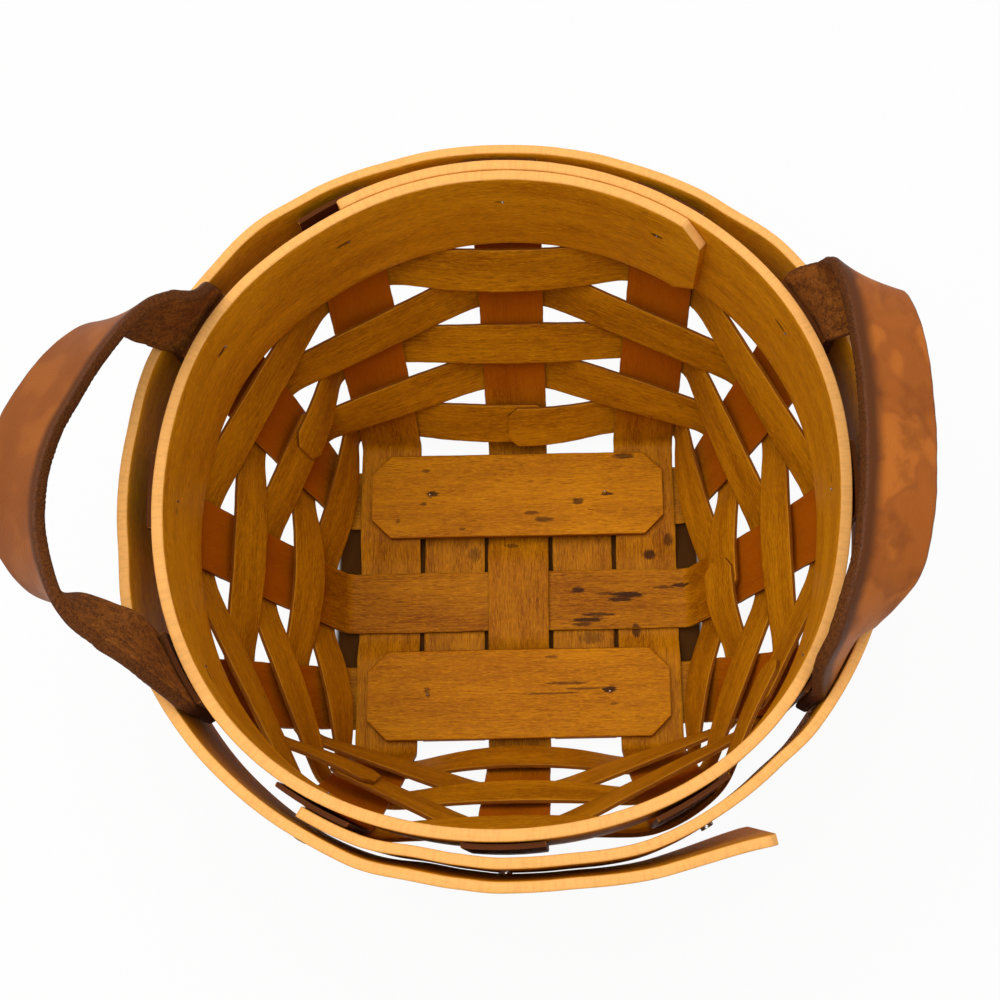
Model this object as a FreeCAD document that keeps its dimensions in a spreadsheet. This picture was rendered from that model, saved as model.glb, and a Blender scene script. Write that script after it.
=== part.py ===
import FreeCAD, Part
import math
import os

import Sketcher
from FreeCAD import Vector

# A round splint basket on a rectangular base, with two leather ear handles.
# Millimetres, +Z up. The origin is the middle of the base on the floor; +Y is the back wall.

# Driving dimensions
DIMENSIONS = [
    # wood splints of the base and the wall stakes
    ("splint_width", 19.0),
    ("splint_thickness", 1.2),
    ("splint_gap", 1.3),
    ("weave_gap", 0.45),
    ("row_spacing", 31.7),
    ("middle_row_shift", -2.0),
    ("fold_radius", 4.0),
    ("fold_clearance", 0.8),
    ("filler_setback", 5.2),
    # weavers round the wall
    ("weaver_thickness", 1.2),
    ("weaver_gap", 0.9),
    ("weave_bow", 2.1),
    ("rim_slit", 0.7),
    ("layer_gap", 0.12),
    # rim bands
    ("rim_height", 117.4),
    ("rim_radius", 81.2),
    ("rim_squareness", 1.1),
    ("rim_depth", 36.0),
    ("rim_shift_right", 0.6),
    ("rim_shift_back", 2.5),
    ("inner_rim_thickness", 2.8),
    ("inner_lap_inset", 1.0),
    ("inner_tip_clip", 6.0),
    ("outer_rim_thickness", 2.5),
    ("outer_tip_clip", 1.5),
    ("rim_fit", 0.3),
    ("stake_drop", 2.0),
    ("loose_lap", 2.5),
    ("sprung_gap", 7.5),
    ("sprung_lean", 4.5),
    # cleats over the base
    ("slat_length", 92.5),
    ("slat_width", 27.4),
    ("slat_thickness", 2.2),
    ("slat_clip", 6.0),
    ("slat_seat", 0.2),
    # brads and tacks
    ("brad_diameter", 1.2),
    ("brad_head_diameter", 2.6),
    ("brad_head_height", 0.5),
    ("brad_tip", 0.9),
    ("brad_offset", 7.5),
    ("tack_diameter", 1.1),
    ("tack_head_diameter", 3.2),
    ("tack_head_height", 0.7),
    ("tack_drop", 12.0),
    ("tack_recess", 0.2),
    # leather ear handles
    ("strap_width", 19.0),
    ("strap_thickness", 3.2),
    ("strap_tail", 26.0),
    ("strap_joint_gap", 0.2),
    ("strap_stand", 4.5),
    ("left_reach", 29.6),
    ("left_rise", 18.2),
    ("right_reach", 12.6),
    ("right_rise", 19.2),
]

# Counts, angles in degrees, and shares chosen by hand
STAKES = 12
TURN_ANGLE = 360.0
FAN_ANGLE = TURN_ANGLE / STAKES
WEAVER_ROWS = 5
ACROSS = 4
FOLD_ANGLE = 60.0
FOLD_STEPS = 3
RAMP_STEPS = 4
SPAN_STEPS = 14
RIM_STEP_ANGLE = 5.0
LOOP_STEPS = 30
# How the wall leaves the base and meets the rim: slopes of its profile at both ends.
WALL_SLOPE_SHARES = (1.15, 0.8)
# Weavers stand off the stakes that they pass inside: at the high and low edges of each row, from the
# top down, and for the top row at the back, where the inner band is double. Then how far they bow
# outwards where they pass outside, over how many stake widths.
BOW_SHARES = ((0.9, 1.3), (0.75, 1.25), (0.75, 1.25), (0.75, 1.25), (0.7, 1.1))
BACK_BOW_SHARES = (2.7, 3.3)
OUTWARD_BOW_SHARE = 0.45
OUTSIDE_SPREAD = 1.2
# A splint climbs over a crossing one within this part of the space between the two rows.
RAMP_SHARES = (0.12, 0.88)
# The inner rim band: its outer end, where its lap eases off, and its tip.
INNER_START_ANGLE = 119.0
INNER_EASE_ANGLES = (45.0, -15.0)
INNER_TUCK_ANGLES = (-200.0, -241.0)
INNER_TIP_ANGLE = -309.0
# The outer rim band: its hidden end, where its lap starts, and the tip that has sprung loose.
OUTER_START_ANGLE = -121.0
OUTER_LAP_ANGLE = 239.0
OUTER_TIP_ANGLE = 306.0
LOOSE_SHARE = 0.3
SPRUNG_POWER = 8.0
# Room between the stakes and the outer band, as shares of the strap and its fit, by angle.
OUTER_SLACK_SHARES = [
    (-121.0, 0.0), (-105.0, 0.0), (-97.0, 0.25), (-90.0, 0.4), (-75.0, 0.6), (-60.0, 0.75), (-48.0, 0.8),
    (-40.0, 1.06), (-20.0, 1.1), (20.0, 1.1), (40.0, 1.06), (52.0, 0.5), (70.0, 0.12),
    (90.0, 0.02), (106.0, 0.12), (122.0, 0.5), (138.0, 1.06), (160.0, 1.12), (180.0, 1.06),
    (200.0, 1.06), (222.0, 1.06), (239.0, 0.8),
]
STAKE_PLATEAU_SHARE = 0.27
# How far round the wall each weaver's ends lap, from the top row down, as shares of a turn.
LAP_SHARES = (4 / 12, 7 / 12, 10 / 12, 3 / 12, 0.0)
LAP_START_SHARE = 0.46
LAP_END_SHARE = 0.66
BEND_STEPS = 3
# Each ear from its back anchor to its front one, as shares: along the line of its anchors, of its
# reach, and of its rise. Then the direction across the strap, as outward, back and up parts.
LEFT_EAR = [
    ((0.905, 0.083, 0.231), (-0.750, 0.415, 0.514)),
    ((0.876, 0.187, 0.436), (-0.675, 0.263, 0.690)),
    ((0.844, 0.300, 0.604), (-0.634, 0.025, 0.773)),
    ((0.786, 0.418, 0.737), (-0.630, -0.233, 0.740)),
    ((0.693, 0.549, 0.834), (-0.661, -0.403, 0.633)),
    ((0.551, 0.694, 0.899), (-0.733, -0.431, 0.526)),
    ((0.368, 0.832, 0.952), (-0.808, -0.375, 0.455)),
    ((0.154, 0.950, 0.997), (-0.856, -0.252, 0.451)),
    ((-0.078, 0.999, 1.000), (-0.849, -0.103, 0.518)),
    ((-0.294, 0.977, 0.962), (-0.781, 0.008, 0.625)),
    ((-0.469, 0.894, 0.889), (-0.655, 0.031, 0.755)),
    ((-0.596, 0.789, 0.799), (-0.515, -0.049, 0.856)),
    ((-0.677, 0.672, 0.700), (-0.378, -0.245, 0.893)),
    ((-0.729, 0.533, 0.597), (-0.266, -0.486, 0.832)),
    ((-0.797, 0.350, 0.464), (-0.222, -0.608, 0.763)),
    ((-0.873, 0.161, 0.291), (-0.275, -0.745, 0.608)),
]
RIGHT_EAR = [
    ((0.938, 0.168, 0.121), (-0.261, 0.945, 0.195)),
    ((0.929, 0.319, 0.289), (-0.346, 0.891, 0.292)),
    ((0.928, 0.480, 0.476), (-0.577, 0.712, 0.400)),
    ((0.923, 0.639, 0.667), (-0.794, 0.386, 0.470)),
    ((0.872, 0.765, 0.826), (-0.877, 0.083, 0.473)),
    ((0.742, 0.858, 0.926), (-0.898, -0.065, 0.436)),
    ((0.550, 0.942, 0.988), (-0.921, -0.099, 0.376)),
    ((0.262, 0.993, 1.001), (-0.915, -0.043, 0.402)),
    ((-0.046, 0.970, 0.982), (-0.915, 0.029, 0.402)),
    ((-0.336, 0.875, 0.928), (-0.905, 0.089, 0.415)),
    ((-0.579, 0.697, 0.820), (-0.854, 0.078, 0.514)),
    ((-0.751, 0.407, 0.646), (-0.746, -0.092, 0.660)),
    ((-0.872, 0.170, 0.439), (-0.671, -0.326, 0.666)),
    ((-0.945, 0.005, 0.220), (-0.658, -0.571, 0.491)),
]

# The document and its sheet of sizes
doc = FreeCAD.newDocument("basket")
sheet = doc.addObject("Spreadsheet::Sheet", "Sizes")
for number, (alias, value) in enumerate(DIMENSIONS, start=1):
    sheet.set("A%d" % number, alias)
    sheet.set("B%d" % number, str(value))
    sheet.setAlias("B%d" % number, alias)
doc.recompute()


def size(alias):
    return float(sheet.get(alias))


width = size("splint_width")
thick = size("splint_thickness")
pitch = width + size("splint_gap")
level_step = thick + size("weave_gap")
levels = [thick / 2 + level_step * number for number in range(3)]
rim_top = size("rim_height")
rim_bottom = rim_top - size("rim_depth")
fit = size("rim_fit")
rim_centre = Vector(size("rim_shift_right"), size("rim_shift_back"), 0)
fold = size("fold_radius")
weave_offset = thick / 2 + size("weave_gap") + size("weaver_thickness") / 2
row_spacing = size("row_spacing")
middle_row = size("middle_row_shift")

# Half the base, from its middle to the outside of the folds
half_depth = row_spacing + size("slat_width") / 2 + size("fold_clearance") + fold
half_breadth = 2 * pitch + width / 2 + size("fold_clearance") + fold

sub_parts = []


def keep(obj, label):
    obj.Label = label
    sub_parts.append(obj)
    return obj


def feature(label, shape):
    """A sub-part whose shape is worked out from the sheet's sizes."""
    obj = doc.addObject("Part::Feature", label)
    obj.Shape = shape
    return keep(obj, label)


def ease(share):
    share = min(max(share, 0.0), 1.0)
    return share * share * (3 - 2 * share)


def table_value(table, angle):
    """Smooth value between the two nearest entries of a table of (angle, value)."""
    for (low, first), (high, second) in zip(table, table[1:]):
        if angle <= high:
            return first + (second - first) * ease((angle - low) / (high - low))
    return table[-1][1]


# Flat-faced strips
def facets(corners):
    """A closed solid from triangles, each given as three corner points."""
    faces = [Part.Face(Part.makePolygon([a, b, c, a])) for a, b, c in corners]
    shell = Part.makeShell(faces)
    shell.sewShape()
    solid = Part.makeSolid(Part.Shell(shell.Faces))
    if solid.Volume < 0:
        solid.reverse()
    return solid


def quad(a, b, c, d):
    return [(a, b, c), (a, c, d)]


def strip(stations):
    """A strip from its stations; a station is a row of (inner, outer) points across the width."""
    corners = []
    for here, there in zip(stations, stations[1:]):
        for side in range(len(here) - 1):
            corners += quad(here[side][0], here[side + 1][0], there[side + 1][0], there[side][0])
            corners += quad(here[side][1], there[side][1], there[side + 1][1], here[side + 1][1])
        corners += quad(here[0][0], there[0][0], there[0][1], here[0][1])
        corners += quad(here[-1][0], here[-1][1], there[-1][1], there[-1][0])
    first, last = stations[0], stations[-1]
    for side in range(len(first) - 1):
        corners += quad(first[side][0], first[side][1], first[side + 1][1], first[side + 1][0])
        corners += quad(last[side][0], last[side + 1][0], last[side + 1][1], last[side][1])
    return facets(corners)


def thicken(grid, thickness):
    """Stations for a strip of even thickness round a grid of middle points."""
    stations = []
    for row, points in enumerate(grid):
        before = grid[max(row - 1, 0)]
        after = grid[min(row + 1, len(grid) - 1)]
        station = []
        for side, point in enumerate(points):
            across = points[min(side + 1, len(points) - 1)] - points[max(side - 1, 0)]
            along = after[side] - before[side]
            normal = across.cross(along).normalize() * (thickness / 2)
            station.append((point + normal, point - normal))
        stations.append(station)
    return stations


def across_shares():
    return [number / ACROSS - 0.5 for number in range(ACROSS + 1)]


# The inner rim band as a spiral: one strip that laps itself at the back
def inner_lap(turn):
    """How far the strip stands out (+) or in (-) for its lap, and how much of a lap it is."""
    outer_step = size("inner_rim_thickness") + size("layer_gap") - size("inner_lap_inset")
    if turn > INNER_EASE_ANGLES[1]:
        share = ease((turn - INNER_EASE_ANGLES[1]) / (INNER_EASE_ANGLES[0] - INNER_EASE_ANGLES[1]))
        return share * outer_step, share
    share = ease((INNER_TUCK_ANGLES[0] - turn) / (INNER_TUCK_ANGLES[0] - INNER_TUCK_ANGLES[1]))
    return -share * size("inner_lap_inset"), share


def inner_rim_face(turn):
    """Radius of the inner band's inner face at an unwound angle."""
    step, lap = inner_lap(turn)
    bulge = -size("rim_squareness") * math.cos(math.radians(4 * turn)) * (1 - lap)
    return size("rim_radius") + step + bulge


def layers(angle, low, high):
    """The unwound angles of a strip, between low and high, that lie at this angle."""
    turn = angle + TURN_ANGLE * math.ceil((low - angle) / TURN_ANGLE)
    found = []
    while turn <= high:
        found.append(turn)
        turn += TURN_ANGLE
    return found


def inner_rim_back(angle):
    """Outermost radius of the inner band at an angle."""
    turns = layers(angle, INNER_TIP_ANGLE, INNER_START_ANGLE)
    return max(inner_rim_face(turn) for turn in turns) + size("inner_rim_thickness")


def rim_point(angle, radius, z):
    turn = math.radians(angle)
    return rim_centre + Vector(radius * math.cos(turn), radius * math.sin(turn), z)


def band(inner_radius, start, end, thickness, clip, lean=None):
    """A rim band: an upright strip along a spiral of inner radii, its far corners clipped.

    lean gives how far the low edge stands in at an unwound angle."""
    steps = math.ceil(abs(end - start) / RIM_STEP_ANGLE)
    turns = [start + (end - start) * number / steps for number in range(steps + 1)]
    turns.append(end - math.copysign(math.degrees(clip / inner_radius(end)), end - start))
    turns.sort(reverse=end < start)
    stations = []
    for turn in turns:
        radius = inner_radius(turn)
        cut = clip if turn == end else 0
        low_radius = radius - (lean(turn) if lean else 0)
        stations.append([(rim_point(turn, near, z), rim_point(turn, near + thickness, z))
                         for near, z in ((low_radius, rim_bottom + cut), (radius, rim_top - cut))])
    return strip(stations)


# Wall stakes, numbered clockwise from the middle of the back
def stake_angle(stake):
    return 90.0 - FAN_ANGLE * stake


def stake_radius(stake):
    """Middle of a stake between the bands, clear of the inner band over its whole width."""
    spots = [stake_angle(stake) + math.degrees(width * share / size("rim_radius"))
             for share in across_shares()]
    return max(inner_rim_back(spot) for spot in spots) + fit + thick / 2


stake_radii = [stake_radius(stake) for stake in range(STAKES)]


def stake_foot(stake):
    """Outward direction, clockwise direction, place along the wall, reach and level at the base."""
    side = (stake + 1) // 3 % 4
    place = (stake + 1) % 3 - 1
    outward = [Vector(0, 1, 0), Vector(1, 0, 0), Vector(0, -1, 0), Vector(-1, 0, 0)][side]
    clockwise = Vector(outward.y, -outward.x, 0)
    if side in (0, 2):
        return outward, clockwise, place * 2 * pitch, half_depth, levels[2 if place else 0]
    lateral = place * row_spacing if place else middle_row * clockwise.y
    return outward, clockwise, lateral, half_breadth, levels[1]


def foot_height(stake):
    return stake_foot(stake)[4] + fold * (1 - math.cos(math.radians(FOLD_ANGLE)))


def wall_point(stake, z, off):
    """Middle of the wall at a stake: straight along the base, round along the rim."""
    outward, clockwise, lateral, reach, _level = stake_foot(stake)
    foot = reach - fold * (1 - math.sin(math.radians(FOLD_ANGLE)))
    base = outward * foot + clockwise * (lateral + off)
    radius = stake_radii[stake]
    rim = rim_point(stake_angle(stake) - math.degrees(off / radius), radius, 0)
    low = foot_height(stake)
    rise = min(max((z - low) / (rim_bottom - low), 0.0), 1.0)
    leave, arrive = WALL_SLOPE_SHARES
    share = (leave * (rise ** 3 - 2 * rise ** 2 + rise) + (3 * rise ** 2 - 2 * rise ** 3)
             + arrive * (rise ** 3 - rise ** 2))
    point = base + (rim - base) * share
    return Vector(point.x, point.y, z)


# Weaver rows, from the top down, as (low, high) heights
rows_bottom = max(foot_height(stake) for stake in range(STAKES)) + size("weaver_gap")
rows_top = rim_bottom - size("rim_slit")
row_pitch = (rows_top - rows_bottom) / WEAVER_ROWS
weaver_rows = []
for number in range(WEAVER_ROWS):
    high = rows_top - number * row_pitch - size("weaver_gap") / 2
    weaver_rows.append((high - row_pitch + size("weaver_gap"), high))


def wall_heights(stake):
    """Heights of a stake's stations, so that each row crosses a straight stretch of it."""
    heights = [foot_height(stake)]
    for low, high in reversed(weaver_rows):
        heights += [low, (low + high) / 2, high]
    return heights + [rim_bottom, rim_top - size("stake_drop")]


def stake_wall(stake, offs):
    """Grid of middle points up one wall, from the fold to the rim."""
    outward, clockwise, lateral, reach, level = stake_foot(stake)
    grid = []
    for number in range(FOLD_STEPS):
        turn = math.radians(FOLD_ANGLE * number / FOLD_STEPS)
        out = reach - fold + fold * math.sin(turn)
        up = level + fold * (1 - math.cos(turn))
        grid.append([outward * out + clockwise * (lateral + off) + Vector(0, 0, up) for off in offs])
    for z in wall_heights(stake):
        grid.append([wall_point(stake, z, off) for off in offs])
    return grid


def ramp(start, end, low, high):
    """(place, height) pairs of a splint that climbs from one level to another."""
    pairs = []
    for number in range(RAMP_STEPS + 1):
        share = number / RAMP_STEPS
        pairs.append((start + (end - start) * share, low + (high - low) * ease(share)))
    return pairs


def long_splint_base(outer):
    """(y, z) of a front-to-back splint: outer ones climb over the outer rows, the middle one
    over the middle row."""
    pairs = []
    for edge, next_edge in ((middle_row - width / 2, -row_spacing + width / 2),
                            (middle_row + width / 2, row_spacing - width / 2)):
        near, far = [edge + (next_edge - edge) * share for share in RAMP_SHARES]
        low, high = (levels[0], levels[2]) if outer else (levels[2], levels[0])
        climb = ramp(near, far, low, high)
        pairs += climb if next_edge > 0 else climb[::-1]
    return pairs


def splint(label, first_stake, last_stake, base_pairs):
    """One splint: down a wall, along the base and up the facing wall."""
    offs = [width * share for share in across_shares()]
    going_down = stake_wall(first_stake, [-off for off in offs])[::-1]
    going_up = stake_wall(last_stake, offs)
    outward, clockwise, lateral = stake_foot(last_stake)[:3]
    base = [[outward * along + clockwise * (lateral + off) + Vector(0, 0, z) for off in offs]
            for along, z in base_pairs]
    return feature(label, strip(thicken(going_down + base + going_up, thick)))


# Base splints that turn up as wall stakes
splint("stake_splint_left", 7, 11, long_splint_base(True))
splint("stake_splint_centre", 6, 0, long_splint_base(False))
splint("stake_splint_right", 5, 1, long_splint_base(True))
splint("stake_splint_back", 10, 2, [])
splint("stake_splint_middle", 9, 3, [])
splint("stake_splint_front", 8, 4, [])

# Short filler splints of the base, which end at its edges
for label, sign in (("base_filler_left", -1), ("base_filler_right", 1)):
    filler = doc.addObject("Part::Box", label)
    filler.setExpression("Length", "Sizes.splint_width")
    filler.setExpression("Height", "Sizes.splint_thickness")
    filler.setExpression("Width", "2 * (Sizes.row_spacing + Sizes.slat_width / 2"
                         " + Sizes.fold_clearance + Sizes.fold_radius - Sizes.filler_setback)")
    filler.setExpression("Placement.Base.x", "%d * (Sizes.splint_width + Sizes.splint_gap)"
                         " - Sizes.splint_width / 2" % sign)
    filler.setExpression("Placement.Base.y", "-(Sizes.row_spacing + Sizes.slat_width / 2"
                         " + Sizes.fold_clearance + Sizes.fold_radius - Sizes.filler_setback)")
    keep(filler, label)

# Cleats: boards with clipped corners over the back and front rows
SLAT_BOTTOM = "(3 * Sizes.splint_thickness + 2 * Sizes.weave_gap + Sizes.slat_seat)"


def slat(label, sign):
    body = doc.addObject("PartDesign::Body", label)
    sketch = body.newObject("Sketcher::SketchObject", label + "_outline")
    plane = [entry for entry in body.Origin.OriginFeatures if entry.Role == "XY_Plane"][0]
    sketch.AttachmentSupport = [(plane, "")]
    sketch.MapMode = "FlatFace"
    half_length, half_width = size("slat_length") / 2, size("slat_width") / 2
    clip = size("slat_clip")
    outline = []
    for x, y in ((1, 1), (-1, 1), (-1, -1), (1, -1)):
        ends = [Vector(x * half_length, y * (half_width - clip), 0),
                Vector(x * (half_length - clip), y * half_width, 0)]
        outline += ends if x * y > 0 else ends[::-1]
    for start, end in zip(outline, outline[1:] + outline[:1]):
        sketch.addGeometry(Part.LineSegment(start, end), False)
    sides = len(outline)
    constraint = Sketcher.Constraint
    for side in range(sides):
        sketch.addConstraint(constraint("Coincident", side, 2, (side + 1) % sides, 1))
    # each corner point is placed by the sheet, from the middle of the board
    for side, point in enumerate(outline):
        for axis, place in (("X", point.x), ("Y", point.y)):
            name = "corner_%s%d" % (axis.lower(), side)
            index = sketch.addConstraint(constraint("Distance" + axis, -1, 1, side, 1, place))
            sketch.renameConstraint(index, name)
            half = "Sizes.slat_length / 2" if axis == "X" else "Sizes.slat_width / 2"
            full = half_length if axis == "X" else half_width
            clipped = " - Sizes.slat_clip" if abs(place) < full - clip / 2 else ""
            mark = "" if place > 0 else "-"
            sketch.setExpression("Constraints." + name, "%s(%s%s)" % (mark, half, clipped))
    pad = body.newObject("PartDesign::Pad", label + "_board")
    pad.Profile = sketch
    pad.setExpression("Length", "Sizes.slat_thickness")
    body.setExpression("Placement.Base.y", "%d * Sizes.row_spacing" % sign)
    body.setExpression("Placement.Base.z", SLAT_BOTTOM)
    return keep(body, label)


slat("base_cleat_back", 1)
slat("base_cleat_front", -1)


# Nails: a turned profile, used as brads of the base and as tacks of the rim
def nail(diameter, head_diameter, head_height, length):
    """A nail along +Z: its head starts at zero and its point is at its full length."""
    shank, head = diameter / 2, head_diameter / 2
    profile = [Vector(0, 0, 0), Vector(head, 0, 0), Vector(head, 0, head_height),
               Vector(shank, 0, head_height), Vector(shank, 0, length - diameter),
               Vector(0, 0, length), Vector(0, 0, 0)]
    face = Part.Face(Part.makePolygon(profile))
    return face.revolve(Vector(0, 0, 0), Vector(0, 0, 1), TURN_ANGLE)


cleat_top = levels[2] + thick / 2 + size("slat_seat") + size("slat_thickness")
brads = []
for x_sign in (-1, 1):
    for y_sign in (-1, 1):
        brad = nail(size("brad_diameter"), size("brad_head_diameter"), size("brad_head_height"),
                    cleat_top + size("brad_tip"))
        x = x_sign * (pitch + size("brad_offset"))
        brad.Placement.Base = Vector(x, y_sign * row_spacing, 0)
        brads.append(brad)
feature("cleat_brads", Part.makeCompound(brads))


# Weavers: hoops that pass inside and outside the stakes by turns
def inside(stake, row):
    return (stake + row) % 2 == 0


def weaver_edge(stake, z, off, offset, bow):
    """A point of a weaver's edge: offset inwards square to the wall, then bowed inwards on the level."""
    nudge = width / ACROSS
    across = wall_point(stake, z, off + nudge) - wall_point(stake, z, off - nudge)
    up = wall_point(stake, z + nudge, off) - wall_point(stake, z - nudge, off)
    inward = across.cross(up).normalize()
    level = Vector(inward.x, inward.y, 0).normalize()
    return wall_point(stake, z, off) + inward * offset + level * bow


def outside_edge(stake, z, share):
    """A point of a weaver's edge where it passes outside a stake."""
    bulge = size("weave_bow") * OUTWARD_BOW_SHARE * (1 - (2 * share) ** 2)
    return weaver_edge(stake % STAKES, z, width * share * OUTSIDE_SPREAD, -weave_offset, -bulge)


def inside_edge(stake, z, bow, place, step):
    """A point of a weaver's edge where it passes inside a stake.

    It runs straight from the stake before to the stake after, bowed where it would touch this one."""
    start = outside_edge(stake - 1, z, max(across_shares()))
    along = outside_edge(stake + 1, z, min(across_shares())) - start
    clear = weaver_edge(stake, z, 0.0, weave_offset, bow)
    level = clear - wall_point(stake, z, 0.0)
    level = Vector(level.x, level.y, 0).normalize()
    nearest = (clear - start).dot(along) / along.dot(along)
    bend = clear - start - along * nearest
    bend = bend * max(math.copysign(1, bend.dot(level)), 0.0)
    rise = place * (1 - place) / (nearest * (1 - nearest))
    lapping = 1 - ease((place - LAP_END_SHARE) / (1 - LAP_END_SHARE))
    return start + along * place + bend * rise + level * (step * lapping)


def weaver(row):
    """One hoop: it starts on top of its own end at its lap stake and goes round clockwise."""
    low, high = weaver_rows[row]
    lap = round(LAP_SHARES[row] * STAKES)
    grid = []
    for number in range(STAKES + 1):
        stake = (lap + number) % STAKES
        if not inside(stake, row):
            grid += [[outside_edge(stake, z, share) for z in (high, low)] for share in across_shares()]
            continue
        step = 0.0 if number else size("weaver_thickness") + size("layer_gap")
        bow_shares = BOW_SHARES[row] if stake or row else BACK_BOW_SHARES
        for place in [spot / SPAN_STEPS for spot in range(1, SPAN_STEPS)]:
            before = number == 0 and place < LAP_START_SHARE
            beyond = number == STAKES and place > LAP_END_SHARE
            if not before and not beyond:
                grid.append([inside_edge(stake, z, size("weave_bow") * share, place, step)
                             for z, share in zip((high, low), bow_shares)])
    return strip(thicken(grid, size("weaver_thickness")))


for row in range(WEAVER_ROWS):
    feature("weaver_row_%d" % (WEAVER_ROWS - row), weaver(row))

# Rim bands
feature("inner_rim_band",
        band(inner_rim_face, INNER_START_ANGLE, INNER_TIP_ANGLE,
             size("inner_rim_thickness"), size("inner_tip_clip")))


def stake_stack(angle):
    """Radius just clear of the stakes, level beside each stake and eased between them."""
    place = (90.0 - angle) / FAN_ANGLE
    first = math.floor(place)
    share = (place - first - STAKE_PLATEAU_SHARE) / (1 - 2 * STAKE_PLATEAU_SHARE)
    low = stake_radii[first % STAKES]
    high = stake_radii[(first + 1) % STAKES]
    return low + (high - low) * ease(share) + thick / 2 + fit


def outer_rim_face(turn):
    """Radius of the outer band's inner face: loose round the straps, lapped and sprung in front."""
    if turn > OUTER_LAP_ANGLE:
        share = (turn - OUTER_LAP_ANGLE) / (OUTER_TIP_ANGLE - OUTER_LAP_ANGLE)
        lap = size("outer_rim_thickness") + size("layer_gap")
        lift = (size("loose_lap") * (1 + ease(share / LOOSE_SHARE)) / 2
                + size("sprung_gap") * share ** SPRUNG_POWER)
        return outer_rim_face(turn - TURN_ANGLE) + lap + lift
    slack = table_value(OUTER_SLACK_SHARES, turn) * (size("strap_thickness") + fit)
    tight = stake_stack(turn) + slack
    if turn > OUTER_LAP_ANGLE - FAN_ANGLE:
        share = ease((turn - OUTER_LAP_ANGLE + FAN_ANGLE) / FAN_ANGLE)
        lapped = (outer_rim_face(OUTER_START_ANGLE) + size("outer_rim_thickness") + size("layer_gap")
                  + size("loose_lap") / 2)
        return tight + (lapped - tight) * share
    return tight


def sprung_lean(turn):
    """How far the low edge of the lap stands in: it stays on the layer under it until the end springs."""
    share = max(turn - OUTER_LAP_ANGLE, 0.0) / (OUTER_TIP_ANGLE - OUTER_LAP_ANGLE)
    seated = size("loose_lap") * ease(share / LOOSE_SHARE)
    return seated + (size("sprung_lean") - size("loose_lap")) * share ** SPRUNG_POWER


feature("outer_rim_band",
        band(outer_rim_face, OUTER_START_ANGLE, OUTER_TIP_ANGLE,
             size("outer_rim_thickness"), size("outer_tip_clip"), sprung_lean))

# Rim tacks: one through both bands at each stake, driven from outside
tacks = []
for stake in range(STAKES):
    angle = stake_angle(stake)
    tip = min(inner_rim_face(turn) for turn in layers(angle, INNER_TIP_ANGLE, INNER_START_ANGLE))
    tip += size("tack_recess")
    held = layers(angle, OUTER_START_ANGLE, OUTER_LAP_ANGLE + FAN_ANGLE / 2)
    head = max(outer_rim_face(turn) for turn in held)
    head += size("outer_rim_thickness") + size("tack_head_height")
    tack = nail(size("tack_diameter"), size("tack_head_diameter"), size("tack_head_height"),
                head - tip)
    inward = rim_point(angle, -1, 0) - rim_centre
    tack.Placement = FreeCAD.Placement(rim_point(angle, head, rim_top - size("tack_drop")),
                                       FreeCAD.Rotation(Vector(0, 0, 1), inward))
    tacks.append(tack)
feature("rim_tacks", Part.makeCompound(tacks))


# Leather ear handles: each strap's tails sit between the stakes and the outer band
def strap_radius(stake):
    return stake_radii[stake] + thick / 2 + fit + size("strap_thickness") / 2


def strap_anchor(stake):
    """Middle of a strap just above the rim, where it starts to lean."""
    return rim_point(stake_angle(stake), strap_radius(stake), rim_top + size("strap_stand"))


def strap_tail(stake, across):
    """Stations of one tail, upright in the rim and curved with it, its edges in the loop's order."""
    radius = strap_radius(stake)
    half = size("strap_thickness") / 2
    clockwise = rim_point(stake_angle(stake) - 90.0, 1, 0) - rim_centre
    sign = math.copysign(1, across.dot(clockwise))
    angles = [stake_angle(stake) - math.degrees(sign * size("strap_width") * share / radius)
              for share in across_shares()]
    return [[(rim_point(angle, radius - half, z), rim_point(angle, radius + half, z))
             for angle in angles]
            for z in (rim_top - size("strap_tail"), rim_top + size("strap_joint_gap"))]


def spline(before, start, end, after, share):
    """A point of the smooth curve through four even stations, between the middle two."""
    return (start * 2 + (end - before) * share
            + (before * 2 - start * 5 + end * 4 - after) * share ** 2
            + (start * 3 - before - end * 3 + after) * share ** 3) / 2


def strap_loop(stakes, ear, reach, rise):
    """Rows of the loop from its first anchor to its second, as (middle, across, outward)."""
    first, last = [strap_anchor(stake) for stake in stakes]
    middle = (first + last) / 2
    half = (first - last) / 2
    out = Vector(math.copysign(1, middle.x), 0, 0)
    back = Vector(0, 1, 0)
    up = Vector(0, 0, 1)
    stations = []
    for (along, outward, upward), (side, behind, above) in ear:
        stations.append((middle + half * along + out * (reach * outward) + up * (rise * upward),
                         out * side + back * behind + up * above))
    curves = []
    for points in zip(*stations):
        points = [points[0] * 2 - points[1], *points, points[-1] * 2 - points[-2]]
        curve = []
        for place in range(LOOP_STEPS + 1):
            spot = (len(points) - 3) * place / LOOP_STEPS
            before = min(int(spot), len(points) - 4)
            curve.append(spline(*points[before:before + 4], spot - before))
        curves.append(curve)
    middles, across = curves
    along = [middles[min(place + 1, LOOP_STEPS)] - middles[max(place - 1, 0)]
             for place in range(LOOP_STEPS + 1)]
    faces = [wide.cross(ahead).normalize() for wide, ahead in zip(across, along)]
    sign = math.copysign(1, faces[LOOP_STEPS // 2].dot(out + up))
    return [(centre, ahead.cross(face * sign).normalize(), face * sign)
            for centre, ahead, face in zip(middles, along, faces)]


def strap_station(row, shares):
    centre, across, face = row
    half = face * (size("strap_thickness") / 2)
    points = [centre + across * (size("strap_width") * share) for share in shares]
    return [(point - half, point + half) for point in points]


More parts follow.
